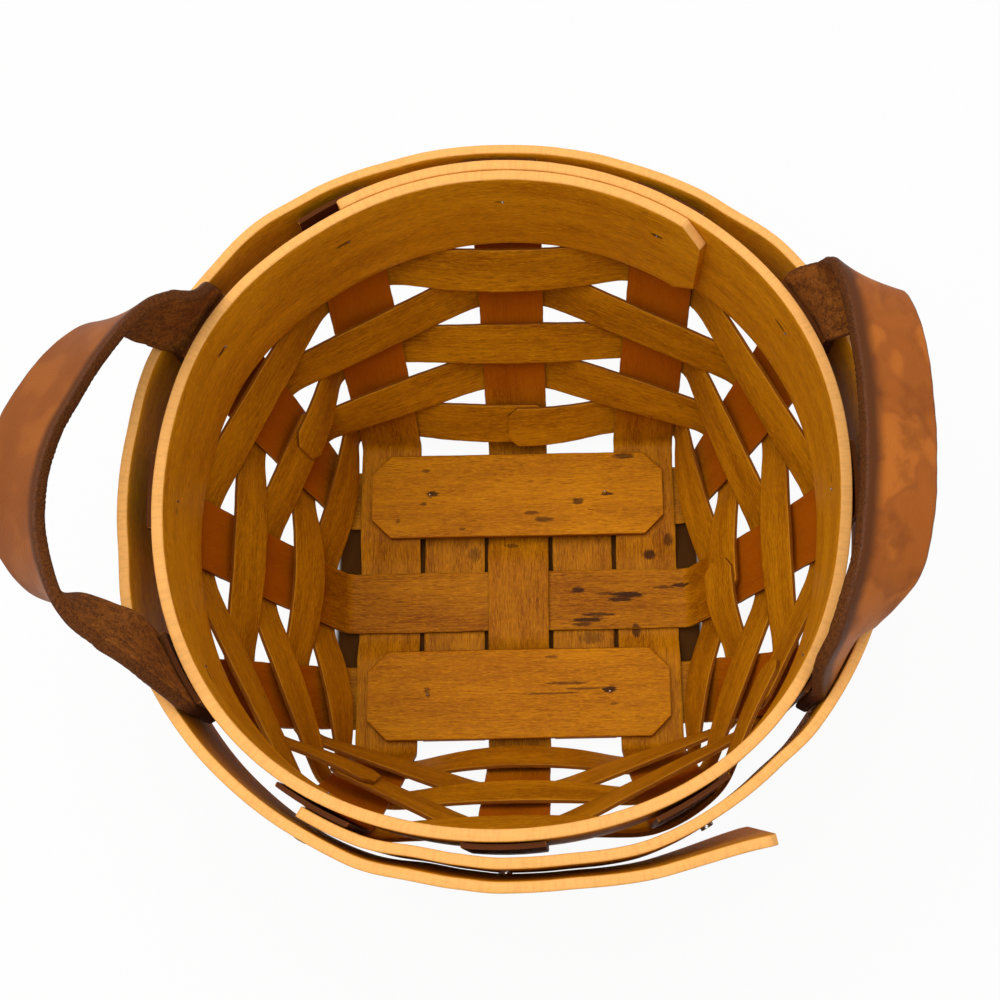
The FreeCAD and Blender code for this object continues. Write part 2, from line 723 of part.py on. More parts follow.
def handle(side, stakes, ear, reach, rise):
    """Tails, bends and loop of one strap; the bends are the stretch that flexes."""
    shares = across_shares()
    loop = [strap_station(row, shares) for row in strap_loop(stakes, ear, reach, rise)]
    feature(side + "_handle_loop", strip(loop))
    tails = []
    bends = []
    for stake, ring in zip(stakes, (loop[0], loop[-1])):
        tail = strap_tail(stake, ring[-1][0] - ring[0][0])
        tails.append(strip(tail))
        bends.append(strip(bend_stations(tail[-1], ring)))
    feature(side + "_handle_tails", Part.makeCompound(tails))
    feature(side + "_handle_bends", Part.makeCompound(bends))


def bend_stations(low, high):
    """Stations from a tail's top to the loop's end, with the joint gap left at both ends."""
    gap = size("strap_joint_gap")
    reach = sum((upper[0] - lower[0]).Length for lower, upper in zip(low, high)) / len(low)
    shares = [gap / reach + (1 - 2 * gap / reach) * number / BEND_STEPS
              for number in range(BEND_STEPS + 1)]
    stations = []
    for share in shares:
        stations.append([(lower[0] + (upper[0] - lower[0]) * share,
                          lower[1] + (upper[1] - lower[1]) * share)
                         for lower, upper in zip(low, high)])
    return stations


handle("left", (10, 8), LEFT_EAR, size("left_reach"), size("left_rise"))
handle("right", (2, 4), RIGHT_EAR, size("right_reach"), size("right_rise"))

# Every sub-part has to be sound before it is written
doc.recompute()
for obj in doc.Objects:
    bad = [state for state in obj.State if state in ("Invalid", "Error")]
    if bad:
        raise RuntimeError("%s is %s" % (obj.Label, bad))
os.makedirs("parts", exist_ok=True)
for obj in sub_parts:
    shape = obj.Shape
    if shape.isNull() or not shape.isValid():
        raise RuntimeError("%s has no valid shape" % obj.Label)
    shape.exportStep("parts/%s.step" % obj.Label)
    box = shape.BoundBox
    print("%-22s solids %2d  faces %4d  volume %8.1f  z %6.1f to %6.1f" % (
        obj.Label, len(shape.Solids), len(shape.Faces), shape.Volume, box.ZMin, box.ZMax))
for side, stakes in (("left", (10, 8)), ("right", (2, 4))):
    ends = [tuple(round(value, 3) for value in strap_anchor(stake)) for stake in stakes]
    print(side, "handle anchors", ends)
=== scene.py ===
# %% [markdown]
# # A small woven basket with leather ears
# The real basket is made of thin wooden strips, called splints. Three of them cross three others to make a
# rectangular base, turn up as the stakes of the wall, and five hoops are woven round them. Two thicker hoops
# clamp the tops of the stakes, and two leather straps are caught between the stakes and the outer hoop.
# The measured model comes first: every piece below is made in its frame, in metres, with +Z up.

# %% Load the measured frame
import math

import bpy
import numpy as np
from mathutils import Matrix, Vector


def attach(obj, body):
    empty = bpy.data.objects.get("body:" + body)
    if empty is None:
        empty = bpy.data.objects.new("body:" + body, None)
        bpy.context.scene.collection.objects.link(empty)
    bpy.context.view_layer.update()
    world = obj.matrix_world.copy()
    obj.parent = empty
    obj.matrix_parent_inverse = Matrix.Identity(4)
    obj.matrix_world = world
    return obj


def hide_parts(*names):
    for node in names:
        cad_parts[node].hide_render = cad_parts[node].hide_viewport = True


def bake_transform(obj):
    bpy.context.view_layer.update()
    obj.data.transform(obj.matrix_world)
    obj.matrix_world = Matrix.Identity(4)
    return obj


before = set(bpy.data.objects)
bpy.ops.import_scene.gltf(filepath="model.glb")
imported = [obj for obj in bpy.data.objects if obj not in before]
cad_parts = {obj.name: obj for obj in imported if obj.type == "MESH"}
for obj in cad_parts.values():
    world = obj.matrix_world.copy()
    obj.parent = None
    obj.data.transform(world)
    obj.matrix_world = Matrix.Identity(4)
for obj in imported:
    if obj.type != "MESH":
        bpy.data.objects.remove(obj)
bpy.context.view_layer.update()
collection = bpy.context.scene.collection

# %% [markdown]
# ## The plan
# A basket maker thinks in millimetres, so the plan below does too, and a path is turned into metres only when
# a strip is bent along it. The wall is straight along the base and round along the rim: each stake runs from
# its place on the rectangle to its place on the circle, and everything else is laid against the stakes.

# %% Sizes of the plan, in millimetres
MM = 0.001
STAKES = 12
SPLINT, THICK = 19.0, 1.2
PITCH = SPLINT + 1.3
WEAVE_GAP = 0.45
LEVELS = [THICK / 2 + (THICK + WEAVE_GAP) * number for number in range(3)]
BAND_DEPTH = 36.0
RIM_TOP, RIM_BOTTOM = 117.4, 81.4
RIM_RADIUS, RIM_SQUARENESS = 81.2, 1.1
RIM_MIDDLE = np.array([0.6, 2.5, 0.0])
INNER_BAND, OUTER_BAND = 2.8, 2.5
FIT, LAYER = 0.3, 0.12
STRAP, HIDE = 19.0, 3.2
FOLD, FOLD_ANGLE, FOLD_CLEARANCE = 4.0, 60.0, 0.8
CLEAT_LENGTH, CLEAT_WIDTH, CLEAT_THICK, CLEAT_CLIP = 92.5, 27.4, 2.2, 6.0
ROW_SPACING, MIDDLE_ROW = 31.7, -2.0
HALF_DEPTH = ROW_SPACING + CLEAT_WIDTH / 2 + FOLD_CLEARANCE + FOLD
HALF_BREADTH = 2 * PITCH + SPLINT / 2 + FOLD_CLEARANCE + FOLD


def ease(share):
    """A soft step from 0 to 1."""
    share = np.clip(share, 0.0, 1.0)
    return share * share * (3 - 2 * share)


print("base %.1f by %.1f mm, rim %.1f mm up" % (2 * HALF_BREADTH, 2 * HALF_DEPTH, RIM_TOP))

# %% The inner hoop: a strip that laps itself at the back
INNER_START, INNER_TIP = 119.0, -309.0
INNER_RISE, INNER_RISE_SPAN = -15.0, 60.0
INNER_DIP, INNER_DIP_SPAN = -200.0, 41.0
INNER_INSET = 1.0
STAKE_STEP = 360.0 / STAKES


def inner_face(turn):
    """Radius of the inner hoop's inner face at an unwound angle, in degrees.

    Its start swings out and its tip dips in, so that the one laps the other."""
    if turn > INNER_RISE:
        lap = ease((turn - INNER_RISE) / INNER_RISE_SPAN)
        step = lap * (INNER_BAND + LAYER - INNER_INSET)
    else:
        lap = ease((INNER_DIP - turn) / INNER_DIP_SPAN)
        step = -lap * INNER_INSET
    return RIM_RADIUS + step - RIM_SQUARENESS * math.cos(math.radians(4 * turn)) * (1 - lap)


def layers(angle, low, high):
    """The unwound angles of a strip that lie at one angle of the circle."""
    first = angle + 360.0 * math.ceil((low - angle) / 360.0)
    return [turn for turn in (first, first + 360.0) if turn <= high]


def rim_point(angle, radius, z):
    """A point at an angle and radius from the middle of the rim."""
    turn = math.radians(angle)
    return RIM_MIDDLE + np.array([radius * math.cos(turn), radius * math.sin(turn), z])


def stake_angle(stake):
    return 90.0 - STAKE_STEP * stake


def stake_radius(stake):
    """Middle of a stake between the hoops, clear of the inner hoop over its whole width."""
    spots = [stake_angle(stake) + math.degrees(SPLINT * share / RIM_RADIUS)
             for share in (-0.5, -0.25, 0.0, 0.25, 0.5)]
    backs = [inner_face(turn) for spot in spots for turn in layers(spot, INNER_TIP, INNER_START)]
    return max(backs) + INNER_BAND + FIT + THICK / 2


stake_radii = [stake_radius(stake) for stake in range(STAKES)]
print("stakes stand %.1f to %.1f mm from the middle of the rim" % (min(stake_radii), max(stake_radii)))

# %% The outer hoop: loose round the straps, lapped in front, its end sprung
OUTER_START, OUTER_LAP, OUTER_TIP = -121.0, 239.0, 306.0
LOOSE_LAP, LOOSE_SHARE = 2.5, 0.3
SPRUNG_GAP, SPRUNG_LEAN, SPRUNG_POWER = 7.5, 4.5, 8
STEP_START, STEP_SPAN = 0.27, 0.46
OUTER_SLACK = np.array([
    (-121, 0.0), (-105, 0.0), (-97, 0.25), (-90, 0.4), (-75, 0.6), (-60, 0.75), (-48, 0.8), (-40, 1.06),
    (-20, 1.1), (20, 1.1), (40, 1.06), (52, 0.5), (70, 0.12), (90, 0.02), (106, 0.12), (122, 0.5),
    (138, 1.06), (160, 1.12), (180, 1.06), (200, 1.06), (222, 1.06), (239, 0.8)])


def slack(turn):
    """Share of a strap's thickness left between the stakes and the outer hoop."""
    spot = int(np.clip(np.searchsorted(OUTER_SLACK[:, 0], turn), 1, len(OUTER_SLACK) - 1))
    (low, first), (high, second) = OUTER_SLACK[spot - 1], OUTER_SLACK[spot]
    return first + (second - first) * ease((turn - low) / (high - low))


def sprung_share(turn):
    """How far along the outer lap an unwound angle is: 0 at its start, 1 at the loose tip."""
    return max(turn - OUTER_LAP, 0.0) / (OUTER_TIP - OUTER_LAP)


def outer_face(turn):
    """Radius of the outer hoop's inner face at an unwound angle."""
    lap = OUTER_BAND + LAYER
    share = sprung_share(turn)
    if share > 0:
        loose = LOOSE_LAP / 2 * (1 + ease(share / LOOSE_SHARE)) + SPRUNG_GAP * share ** SPRUNG_POWER
        return outer_face(turn - 360.0) + lap + loose
    place = (90.0 - turn) / STAKE_STEP
    first = math.floor(place)
    low, high = stake_radii[first % STAKES], stake_radii[(first + 1) % STAKES]
    tight = low + (high - low) * ease((place - first - STEP_START) / STEP_SPAN) + THICK / 2 + FIT
    tight += slack(turn) * (HIDE + FIT)
    if turn > OUTER_LAP - STAKE_STEP:
        lapped = outer_face(OUTER_START) + lap + LOOSE_LAP / 2
        return tight + (lapped - tight) * ease((turn - OUTER_LAP) / STAKE_STEP + 1.0)
    return tight


print("the sprung end stands %.1f mm off" % (outer_face(OUTER_TIP) - outer_face(OUTER_TIP - 360.0)))

# %% The wall between the base and the rim
LOW_SLOPE, HIGH_SLOPE = 1.15, 0.8
ROWS, ROW_GAP, RIM_SLIT = 5, 0.9, 0.7


def stake_foot(stake):
    """Outward and clockwise directions, place along the wall, reach and height of a stake's foot."""
    side, place = (stake + 1) // 3 % 4, (stake + 1) % 3 - 1
    outward = np.array([(0, 1, 0), (1, 0, 0), (0, -1, 0), (-1, 0, 0)][side], float)
    clockwise = np.array([outward[1], -outward[0], 0.0])
    if side in (0, 2):
        return outward, clockwise, place * 2 * PITCH, HALF_DEPTH, LEVELS[2 if place else 0]
    lateral = place * ROW_SPACING if place else MIDDLE_ROW * clockwise[1]
    return outward, clockwise, lateral, HALF_BREADTH, LEVELS[1]


def foot_height(stake):
    """Height at which a stake leaves its fold."""
    return stake_foot(stake)[4] + FOLD * (1 - math.cos(math.radians(FOLD_ANGLE)))


def wall_point(stake, z, off):
    """Middle of the wall beside a stake: straight along the base, round along the rim."""
    outward, clockwise, lateral, reach, _level = stake_foot(stake)
    foot = reach - FOLD * (1 - math.sin(math.radians(FOLD_ANGLE)))
    base = outward * foot + clockwise * (lateral + off)
    radius = stake_radii[stake]
    rim = rim_point(stake_angle(stake) - math.degrees(off / radius), radius, 0.0)
    low = foot_height(stake)
    rise = min(max((z - low) / (RIM_BOTTOM - low), 0.0), 1.0)
    share = (LOW_SLOPE * (rise ** 3 - 2 * rise ** 2 + rise) + (3 * rise ** 2 - 2 * rise ** 3)
             + HIGH_SLOPE * (rise ** 3 - rise ** 2))
    point = base + (rim - base) * share
    return np.array([point[0], point[1], z])


def unit(vector):
    return vector / np.linalg.norm(vector)


rows_bottom = max(foot_height(stake) for stake in range(STAKES)) + ROW_GAP
rows_top = RIM_BOTTOM - RIM_SLIT
row_pitch = (rows_top - rows_bottom) / ROWS
print("%d hoops of the wall, %.1f mm apart" % (ROWS, row_pitch))

# %% [markdown]
# ## One class for node maths
# Both the materials and the node trees that shape the strips need small sums. The class below wraps a
# socket: arithmetic on it adds Math nodes, `make` adds any other node, and the last methods are short names
# for the nodes that are used most.


# %% A socket that behaves like a number
class Wire:
    """A socket of a node tree. Sums and products on it add Math nodes."""

    def __init__(self, tree, socket=None):
        self.tree = tree
        self.socket = socket

    def make(self, kind, settings=None, inputs=None, output=0):
        """A new node: its settings first, then the values or links of its sockets."""
        node = self.tree.nodes.new(kind)
        for name, value in (settings or {}).items():
            setattr(node, name, value)
        for name, value in (inputs or {}).items():
            if isinstance(value, Wire):
                self.tree.links.new(value.socket, node.inputs[name])
            else:
                node.inputs[name].default_value = value
        return Wire(self.tree, node.outputs[output])

    def maths(self, operation, first, second):
        return self.make("ShaderNodeMath", {"operation": operation}, {0: first, 1: second})

    def __add__(self, other):
        return self.maths("ADD", self, other)

    def __radd__(self, other):
        return self.maths("ADD", other, self)

    def __sub__(self, other):
        return self.maths("SUBTRACT", self, other)

    def __rsub__(self, other):
        return self.maths("SUBTRACT", other, self)

    def __mul__(self, other):
        return self.maths("MULTIPLY", self, other)

    def __rmul__(self, other):
        return self.maths("MULTIPLY", other, self)

    def vector(self, operation, other, output=0):
        """Vector arithmetic, which keeps all three parts."""
        return self.make("ShaderNodeVectorMath", {"operation": operation}, {0: self, 1: other}, output)

    def scaled(self, factor):
        """A vector made longer or shorter."""
        return self.make("ShaderNodeVectorMath", {"operation": "SCALE"}, {0: self, "Scale": factor})

    def parts(self):
        """X, Y and Z of a vector."""
        return [self.make("ShaderNodeSeparateXYZ", None, {0: self}, output) for output in range(3)]

    def size(self):
        """A value without its sign."""
        return self.maths("ABSOLUTE", self, 0.0)

    def most(self, other):
        return self.maths("MAXIMUM", self, other)

    def between(self, low, high, first=0.0, last=1.0):
        """A soft step from first to last as the value goes from low to high."""
        span = {"Value": self, "From Min": low, "From Max": high, "To Min": first, "To Max": last}
        return self.make("ShaderNodeMapRange", {"interpolation_type": "SMOOTHSTEP"}, span)

    def mix(self, first, second):
        """A colour between two, with this value as the share of the second."""
        return self.make("ShaderNodeMix", {"data_type": "RGBA"}, {0: self, 6: first, 7: second}, 2)

    def noise(self, scale, detail):
        """Noise over a vector."""
        return self.make("ShaderNodeTexNoise", None,
                         {"Vector": self, "Scale": scale, "Detail": detail, "Roughness": 0.6})


print("node maths ready")

# %% [markdown]
# ## Cut flat, then bent
# A splint is sawn flat and bent wet, so the model does the same. `flat_strip` cuts a strip: its edges are
# eased and a little ragged, and its corners can be clipped. A Geometry Nodes tree then bends it along a path.
# Before the bend it stores the flat position as the attribute `grain`, so the wood's figure follows every
# curve. The strip's two edges are worked out first, then the ring of points round its section, then its
# faces.

# %% The edges of a flat strip
CLIP_PLACES = np.array([0.08, 0.3, 0.55, 0.8, 1.0])


def strip_edges(length, width, clips, ragged, seed, step, fuzz):
    """Places along a strip, and where its right and left edges are there, in millimetres."""
    along = np.linspace(0.0, length, max(6, int(length / step)))
    clipped = [clips[0] * CLIP_PLACES, length - clips[1] * CLIP_PLACES]
    along = np.unique(np.concatenate([along, *clipped]).round(4))
    half = np.full(len(along), width / 2)
    for distance, clip in ((along, clips[0]), (length - along, clips[1])):
        half = np.minimum(half, width / 2 - np.maximum(clip - distance, 0.0))
    sides = []
    for number, sign in enumerate((-1, 1)):
        phase = 1.7 * seed + 2.9 * number
        wave = (np.sin(along * 0.11 + phase) + 0.6 * np.sin(along * 0.43 + 2.1 * phase)
                + 0.35 * np.sin(along * 1.31 + 3.7 * phase))
        teeth = number * np.sin(along * 4.1 + phase) * (1 + np.sin(along * 0.57 + 2 * phase)) / 2
        sides.append(sign * half + ragged * wave / 1.5 + fuzz * teeth)
    return along, *sides


print("a 100 mm strip has", len(strip_edges(100.0, SPLINT, (0.0, 0.0), 0.12, 0, 1.3, 0.0)[0]), "stations")

# %% The section of a strip and its faces
FACE_PLACES = np.array([0.0, 0.04, 0.14, 0.32, 0.5, 0.68, 0.86, 0.96, 1.0])
COLUMNS = len(FACE_PLACES)
ON_EDGE = ([0.0] * COLUMNS + [1.0] * 4) * 2
ON_ARRIS = ([0.0] * COLUMNS + [1.0, 0.0, 0.0, 1.0]) * 2
AROUND = len(ON_EDGE)


def strip_ring(low, high, thickness, easing):
    """Points round a section as (y, z): over the top, round an edge, back below, round the other edge."""
    top = thickness / 2
    flat = top - easing
    diagonal = math.sqrt(0.5) * easing
    right, left = low + easing, high - easing
    ring = [(right + (left - right) * share, top) for share in FACE_PLACES]
    ring += [(left + diagonal, flat + diagonal), (high, flat),
             (high, -flat), (left + diagonal, -flat - diagonal)]
    ring += [(right + (left - right) * share, -top) for share in FACE_PLACES[::-1]]
    ring += [(right - diagonal, -flat - diagonal), (low, -flat),
             (low, flat), (right - diagonal, flat + diagonal)]
    return ring


def strip_faces(rows):
    """Faces along a strip of so many sections, and the caps of its two ends."""
    faces = []
    for row in range(rows - 1):
        here, there = row * AROUND, (row + 1) * AROUND
        for spot in range(AROUND):
            after = (spot + 1) % AROUND
            faces.append((here + spot, there + spot, there + after, here + after))
    for row, turn in ((0, 1), (rows - 1, -1)):
        start = row * AROUND
        below = [start + 2 * COLUMNS + 3 - spot for spot in range(COLUMNS)]
        caps = [(start + spot, start + spot + 1, below[spot + 1], below[spot])
                for spot in range(COLUMNS - 1)]
        caps.append([start + spot for spot in range(COLUMNS - 1, COLUMNS + 5)])
        caps.append([start + spot for spot in range(2 * COLUMNS + 3, AROUND)] + [start])
        faces += [cap[::turn] for cap in caps]
    return faces


print(AROUND, "points round each section")


# %% A flat strip with eased edges
def store(mesh, name, kind, values):
    """Stores an attribute on the points of a mesh."""
    field = {"FLOAT": "value", "FLOAT_VECTOR": "vector"}[kind]
    mesh.attributes.new(name, kind, "POINT").data.foreach_set(field, np.array(values, np.float32).ravel())


def flat_strip(name, length, width, thickness, easing, clips=(0.0, 0.0), ragged=0.12, seed=0, step=1.3,
               fuzz=0.0):
    """A closed strip along +X, in millimetres; clips are the corner cuts at its two ends.

    ragged is how far its edges wander, and fuzz how far short teeth stand out of its left edge."""
    along, low, high = strip_edges(length, width, clips, ragged, seed, step, fuzz)
    points = np.zeros((len(along), AROUND, 3))
    points[:, :, 0] = along[:, None]
    for spot, (y, z) in enumerate(strip_ring(low, high, thickness, easing)):
        points[:, spot, 1] = y
        points[:, spot, 2] = z
    mesh = bpy.data.meshes.new(name)
    mesh.from_pydata((points * MM).reshape(-1, 3).tolist(), [], strip_faces(len(along)))
    store(mesh, "edge", "FLOAT", np.tile(ON_EDGE, len(along)))
    store(mesh, "arris", "FLOAT", np.tile(ON_ARRIS, len(along)))
    return mesh


SPLINT_EASING = 0.3
trial = flat_strip("trial", 100.0, SPLINT, THICK, SPLINT_EASING)
print("a 100 mm strip has", len(trial.vertices), "points")
bpy.data.meshes.remove(trial)


# %% The tree that bends a strip along a path
def new_tree(name, sockets):
    """An empty node tree for a modifier, with its named inputs."""
    tree = bpy.data.node_groups.new(name, "GeometryNodeTree")
    tree.is_modifier = True
    tree.interface.new_socket("Geometry", in_out="INPUT", socket_type="NodeSocketGeometry")
    for label, kind in sockets:
        tree.interface.new_socket(label, in_out="INPUT", socket_type=kind)
    tree.interface.new_socket("Geometry", in_out="OUTPUT", socket_type="NodeSocketGeometry")
    given = tree.nodes.new("NodeGroupInput")
    return tree, {socket.name: Wire(tree, socket) for socket in given.outputs if socket.name}


def close_tree(geometry, finish):
    """Ends a tree: real geometry, smooth, with its material."""
    real = geometry.make("GeometryNodeRealizeInstances", None, {0: geometry})
    smooth = real.make("GeometryNodeSetShadeSmooth", None, {0: real})
    done = smooth.make("GeometryNodeSetMaterial", None, {"Geometry": smooth, "Material": finish})
    out = done.tree.nodes.new("NodeGroupOutput")
    done.tree.links.new(done.socket, out.inputs[0])


def stored(start, name, kind):
    """A node tree's reading of an attribute."""
    return start.make("GeometryNodeInputNamedAttribute", {"data_type": kind}, {"Name": name})


bend_tree, given = new_tree("bend_strip", [
    ("Path", "NodeSocketObject"), ("Shift", "NodeSocketVector"), ("Finish", "NodeSocketMaterial")])
start = Wire(bend_tree)
line = start.make("GeometryNodeObjectInfo", None, {"Object": given["Path"]}, output="Geometry")
curve = start.make("GeometryNodeMeshToCurve", None, {0: line})
flat = start.make("GeometryNodeInputPosition")
along, across, depth = flat.parts()
side = stored(start, "side", "FLOAT_VECTOR")
cup = stored(start, "cup", "FLOAT")
by_length = {"mode": "LENGTH", "data_type": "FLOAT_VECTOR"}
samples = {"Curves": curve, "Value": side, "Length": along}
here_side, here, way = [start.make("GeometryNodeSampleCurve", by_length, samples, output)
                        for output in ("Value", "Position", "Tangent")]
here_cup = start.make("GeometryNodeSampleCurve", {"mode": "LENGTH", "data_type": "FLOAT"},
                      {"Curves": curve, "Value": cup, "Length": along})
face = here_side.vector("CROSS_PRODUCT", way).vector("NORMALIZE", (0.0, 0.0, 0.0))
lift = depth + here_cup * across * across * 0.5
bent = here.vector("ADD", here_side.scaled(across)).vector("ADD", face.scaled(lift))
figure = flat.vector("ADD", given["Shift"])
marked = start.make("GeometryNodeStoreNamedAttribute", {"data_type": "FLOAT_VECTOR", "domain": "POINT"},
                    {"Geometry": given["Geometry"], "Name": "grain", "Value": figure})
moved = start.make("GeometryNodeSetPosition", None, {"Geometry": marked, "Position": bent})
close_tree(moved, given["Finish"])
print("bend tree:", len(bend_tree.nodes), "nodes")

# %% Running a tree and keeping a plain mesh
SHARP_ANGLE = math.radians(50)
GRAIN_SHIFT = np.array([0.37, 0.11, 0.23])


def run_tree(name, mesh, tree, **values):
    """Puts a mesh through a node tree and keeps what comes out as a plain mesh."""
    piece = bpy.data.objects.new(name, mesh)
    collection.objects.link(piece)
    modifier = piece.modifiers.new("nodes", "NODES")
    modifier.node_group = tree
    for item in tree.interface.items_tree:
        if item.item_type == "SOCKET" and item.in_out == "INPUT" and item.name in values:
            modifier[item.identifier] = values[item.name]
    graph = bpy.context.evaluated_depsgraph_get()
    finished = bpy.data.meshes.new_from_object(piece.evaluated_get(graph))
    piece.modifiers.remove(modifier)
    piece.data = finished
    finished.name = name
    finished.set_sharp_from_angle(angle=SHARP_ANGLE)
    return piece


def bend(name, path, width, thickness, easing, finish, seed, **cutting):
    """Cuts a strip as long as a path and bends it along: the path is (points, sides, cups).

    GRAIN_SHIFT times the seed moves the figure, so that no two strips look alike."""
    points, sides, cups = [np.array(part, float) for part in path]
    length = np.linalg.norm(np.diff(points, axis=0), axis=1).sum()
    line = bpy.data.meshes.new("path")
    line.from_pydata((points * MM).tolist(), [(n, n + 1) for n in range(len(points) - 1)], [])
    store(line, "side", "FLOAT_VECTOR", sides)
    store(line, "cup", "FLOAT", cups / MM)
    guide = bpy.data.objects.new("path", line)
    collection.objects.link(guide)
    strip = flat_strip(name, length, width, thickness, easing, seed=seed, **cutting)
    shift = Vector((GRAIN_SHIFT * seed).tolist())
    piece = run_tree(name, strip, bend_tree, Path=guide, Shift=shift, Finish=finish)
    bpy.data.objects.remove(guide)
    bpy.data.meshes.remove(line)
    return piece


def dress(piece, body, slot, *nodes):
    """Lets a finished piece stand for its measured nodes."""
    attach(piece, body)
    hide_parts(*nodes)


print("strips can be cut and bent")

# %% [markdown]
# ## The wood
# The splints are thin maple, stained honey brown and then handled for years. Close up there are fine
# streaks, short golden flecks and a few dark pores, all running along the strip. On the thin splints the
# stain went dark into the cut edges, and a painted highlight runs along their corners; the thick hoops'
# sawn edges stayed pale. Up the wall the stakes take a redder painted shade, and where the rim hoops cover
# them a painted shade makes them dark. Everything reads the attribute `grain`, with noise stretched along
# the strip.


# %% Helpers for finishes
def new_material(name):
    """A material with its shader, and a wire to start its nodes from."""
    material = bpy.data.materials.new(name)
    material.use_nodes = True
    shader = material.node_tree.nodes["Principled BSDF"]
    return material, shader, Wire(material.node_tree)


def plug(shader, name, wire):
    shader.id_data.links.new(wire.socket, shader.inputs[name])


def painted(start, name, output="Fac"):
    """A material's reading of an attribute."""
    return start.make("ShaderNodeAttribute", {"attribute_name": name}, output=output)


def object_place(start):
    return start.make("ShaderNodeTexCoord", output="Object")


def bumped(shader, height, strength, distance):
    bump = height.make("ShaderNodeBump", None, {"Strength": strength, "Distance": distance, "Height": height})
    plug(shader, "Normal", bump)


def toned(colour, red, green, blue):
    """A colour with its parts made stronger or weaker."""
    return tuple(min(1.0, part * share) for part, share in zip(colour, (red, green, blue))) + (1.0,)


def stain_mask(where, spots, rough):
    """Soft ragged spots: each is (x, y, half length, half width, strength), in millimetres."""
    x, y, _z = where.parts()
    total = None
    for px, py, long, wide, strength in spots:
        dx = (x - px * MM) * (1 / (long * MM))
        dy = (y - py * MM) * (1 / (wide * MM))
        spot = (dx * dx + dy * dy + rough).between(0.35, 1.05, strength, 0.0)
        total = total.most(spot) if total else spot
    return total


print("finishes can be mixed")

# %% A stained wood finish
# The second colour is painted shade: the stakes between the rim hoops are painted this dark.
INK, PAINTED_RIM_SHADE = (0.035, 0.010, 0.002, 1.0), (0.045, 0.012, 0.002, 1.0)
WOOD_GLOSS = 0.06


def wood(name, dark, light, edge_tone, spots=(), marks=(), pale=0.9, arris_tone=None, wall=0.0, ticked=0.0):
    """Stained splint; spots are placed on the base by x and y, marks along the strip itself.

    pale is how much the edges take edge_tone, arris_tone is a painted highlight along the corners, wall is
    how much redder painted shade it takes up the wall, with a dark painted shade under the rim whenever wall
    is set, and ticked is how much its sawn edges are ticked across."""
    material, shader, start = new_material(name)
    grain, edge = painted(start, "grain", "Vector"), painted(start, "edge")
    placed = object_place(start)

    def figure(lengthwise, crosswise, detail):
        return grain.vector("MULTIPLY", (lengthwise, crosswise, crosswise)).noise(1.0, detail)

    clouds = figure(22, 110, 3)
    streaks = figure(120, 2300, 4)
    flecks = figure(620, 3900, 2)
    pores = figure(300, 4200, 1)
    tone = streaks.between(0.3, 0.7) * 0.45 + clouds.between(0.32, 0.68) * 0.55
    colour = tone.mix(dark, light)
    colour = (flecks.between(0.5, 0.68) * 0.4).mix(colour, toned(light, 1.45, 1.6, 1.6))
    pits = pores.between(0.56, 0.7)
    colour = (pits * 0.6).mix(colour, toned(dark, 0.5, 0.42, 0.4))
    if wall:
        # Painted shade: up the wall the stakes take a redder, darker tint, and where the rim hoops cover them
        # they are painted nearly black.
        _x, _y, height = placed.parts()
        painted_wall_shade = height.between(6 * MM, 35 * MM) * (clouds * 0.6 + 0.7) * wall
        colour = painted_wall_shade.mix(colour, toned(dark, 1.9, 1.5, 1.0))
        colour = (height.between(95 * MM, 112 * MM) * 0.9).mix(colour, PAINTED_RIM_SHADE)
    rough = (flecks * 0.7 + streaks * 0.6 - 0.65) * 2.2
    if spots:
        colour = stain_mask(placed, spots, rough).mix(colour, INK)
    if marks:
        colour = stain_mask(grain, marks, rough).mix(colour, INK)
    sawn = edge * (streaks.between(0.25, 0.75) * 0.25 + (pale - 0.2))
    ticks = figure(1300, 260, 3).between(0.45, 0.65) * ticked
    colour = sawn.mix(colour, ticks.mix(edge_tone, toned(edge_tone, 0.5, 0.5, 0.5)))
    if arris_tone:
        # Painted highlight: a pale golden line along the corners of the cut edges, patchy along the strip.
        painted_corner_highlight = painted(start, "arris").between(0.35, 0.9) * clouds.between(0.3, 0.55) * 0.8
        colour = painted_corner_highlight.mix(colour, arris_tone)
    plug(shader, "Base Color", colour)
    plug(shader, "Roughness", streaks * 0.25 + 0.42)
    shader.inputs["Specular IOR Level"].default_value = WOOD_GLOSS
    bumped(shader, streaks * 0.6 + flecks * 0.4 - pits * 0.5, 0.35, 0.2 * MM)
    return material


print("wood finish ready")

# %% Tones and spots of the splints
HONEY_DARK, HONEY_LIGHT = (0.20, 0.050, 0.0006, 1), (0.44, 0.155, 0.0015, 1)
# The third tone is a painted highlight for the corners of the thin splints' edges.
SAWN, CUT, PAINTED_ARRIS_HIGHLIGHT = (0.74, 0.36, 0.10, 1), (0.13, 0.030, 0.002, 1), (0.58, 0.24, 0.010, 1)
SPLINT_SPOTS = [
    (41.6, 12.4, 2.4, 1.9, 0.9), (47.8, 16.5, 1.6, 2.4, 0.7), (-13.9, 13.5, 2.4, 3.0, 0.45),
    (22.5, -14.0, 4.0, 2.4, 0.5), (36.7, -12.0, 1.6, 2.6, 0.8), (18.7, 1.1, 2.4, 1.1, 0.9),
    (34.4, -0.8, 6.4, 1.1, 0.95), (32.0, -2.2, 4.6, 0.8, 0.9), (27.0, -0.2, 3.4, 0.5, 0.6),
    (24.6, -6.9, 5.6, 0.8, 0.8), (22.0, -8.6, 6.6, 0.8, 0.9), (19.6, -9.9, 3.6, 0.7, 0.8),
    (51.0, 2.1, 3.2, 0.9, 0.9), (45.9, 1.5, 4.0, 0.6, 0.7), (-2.0, 16.0, 2.6, 0.9, 0.6)]
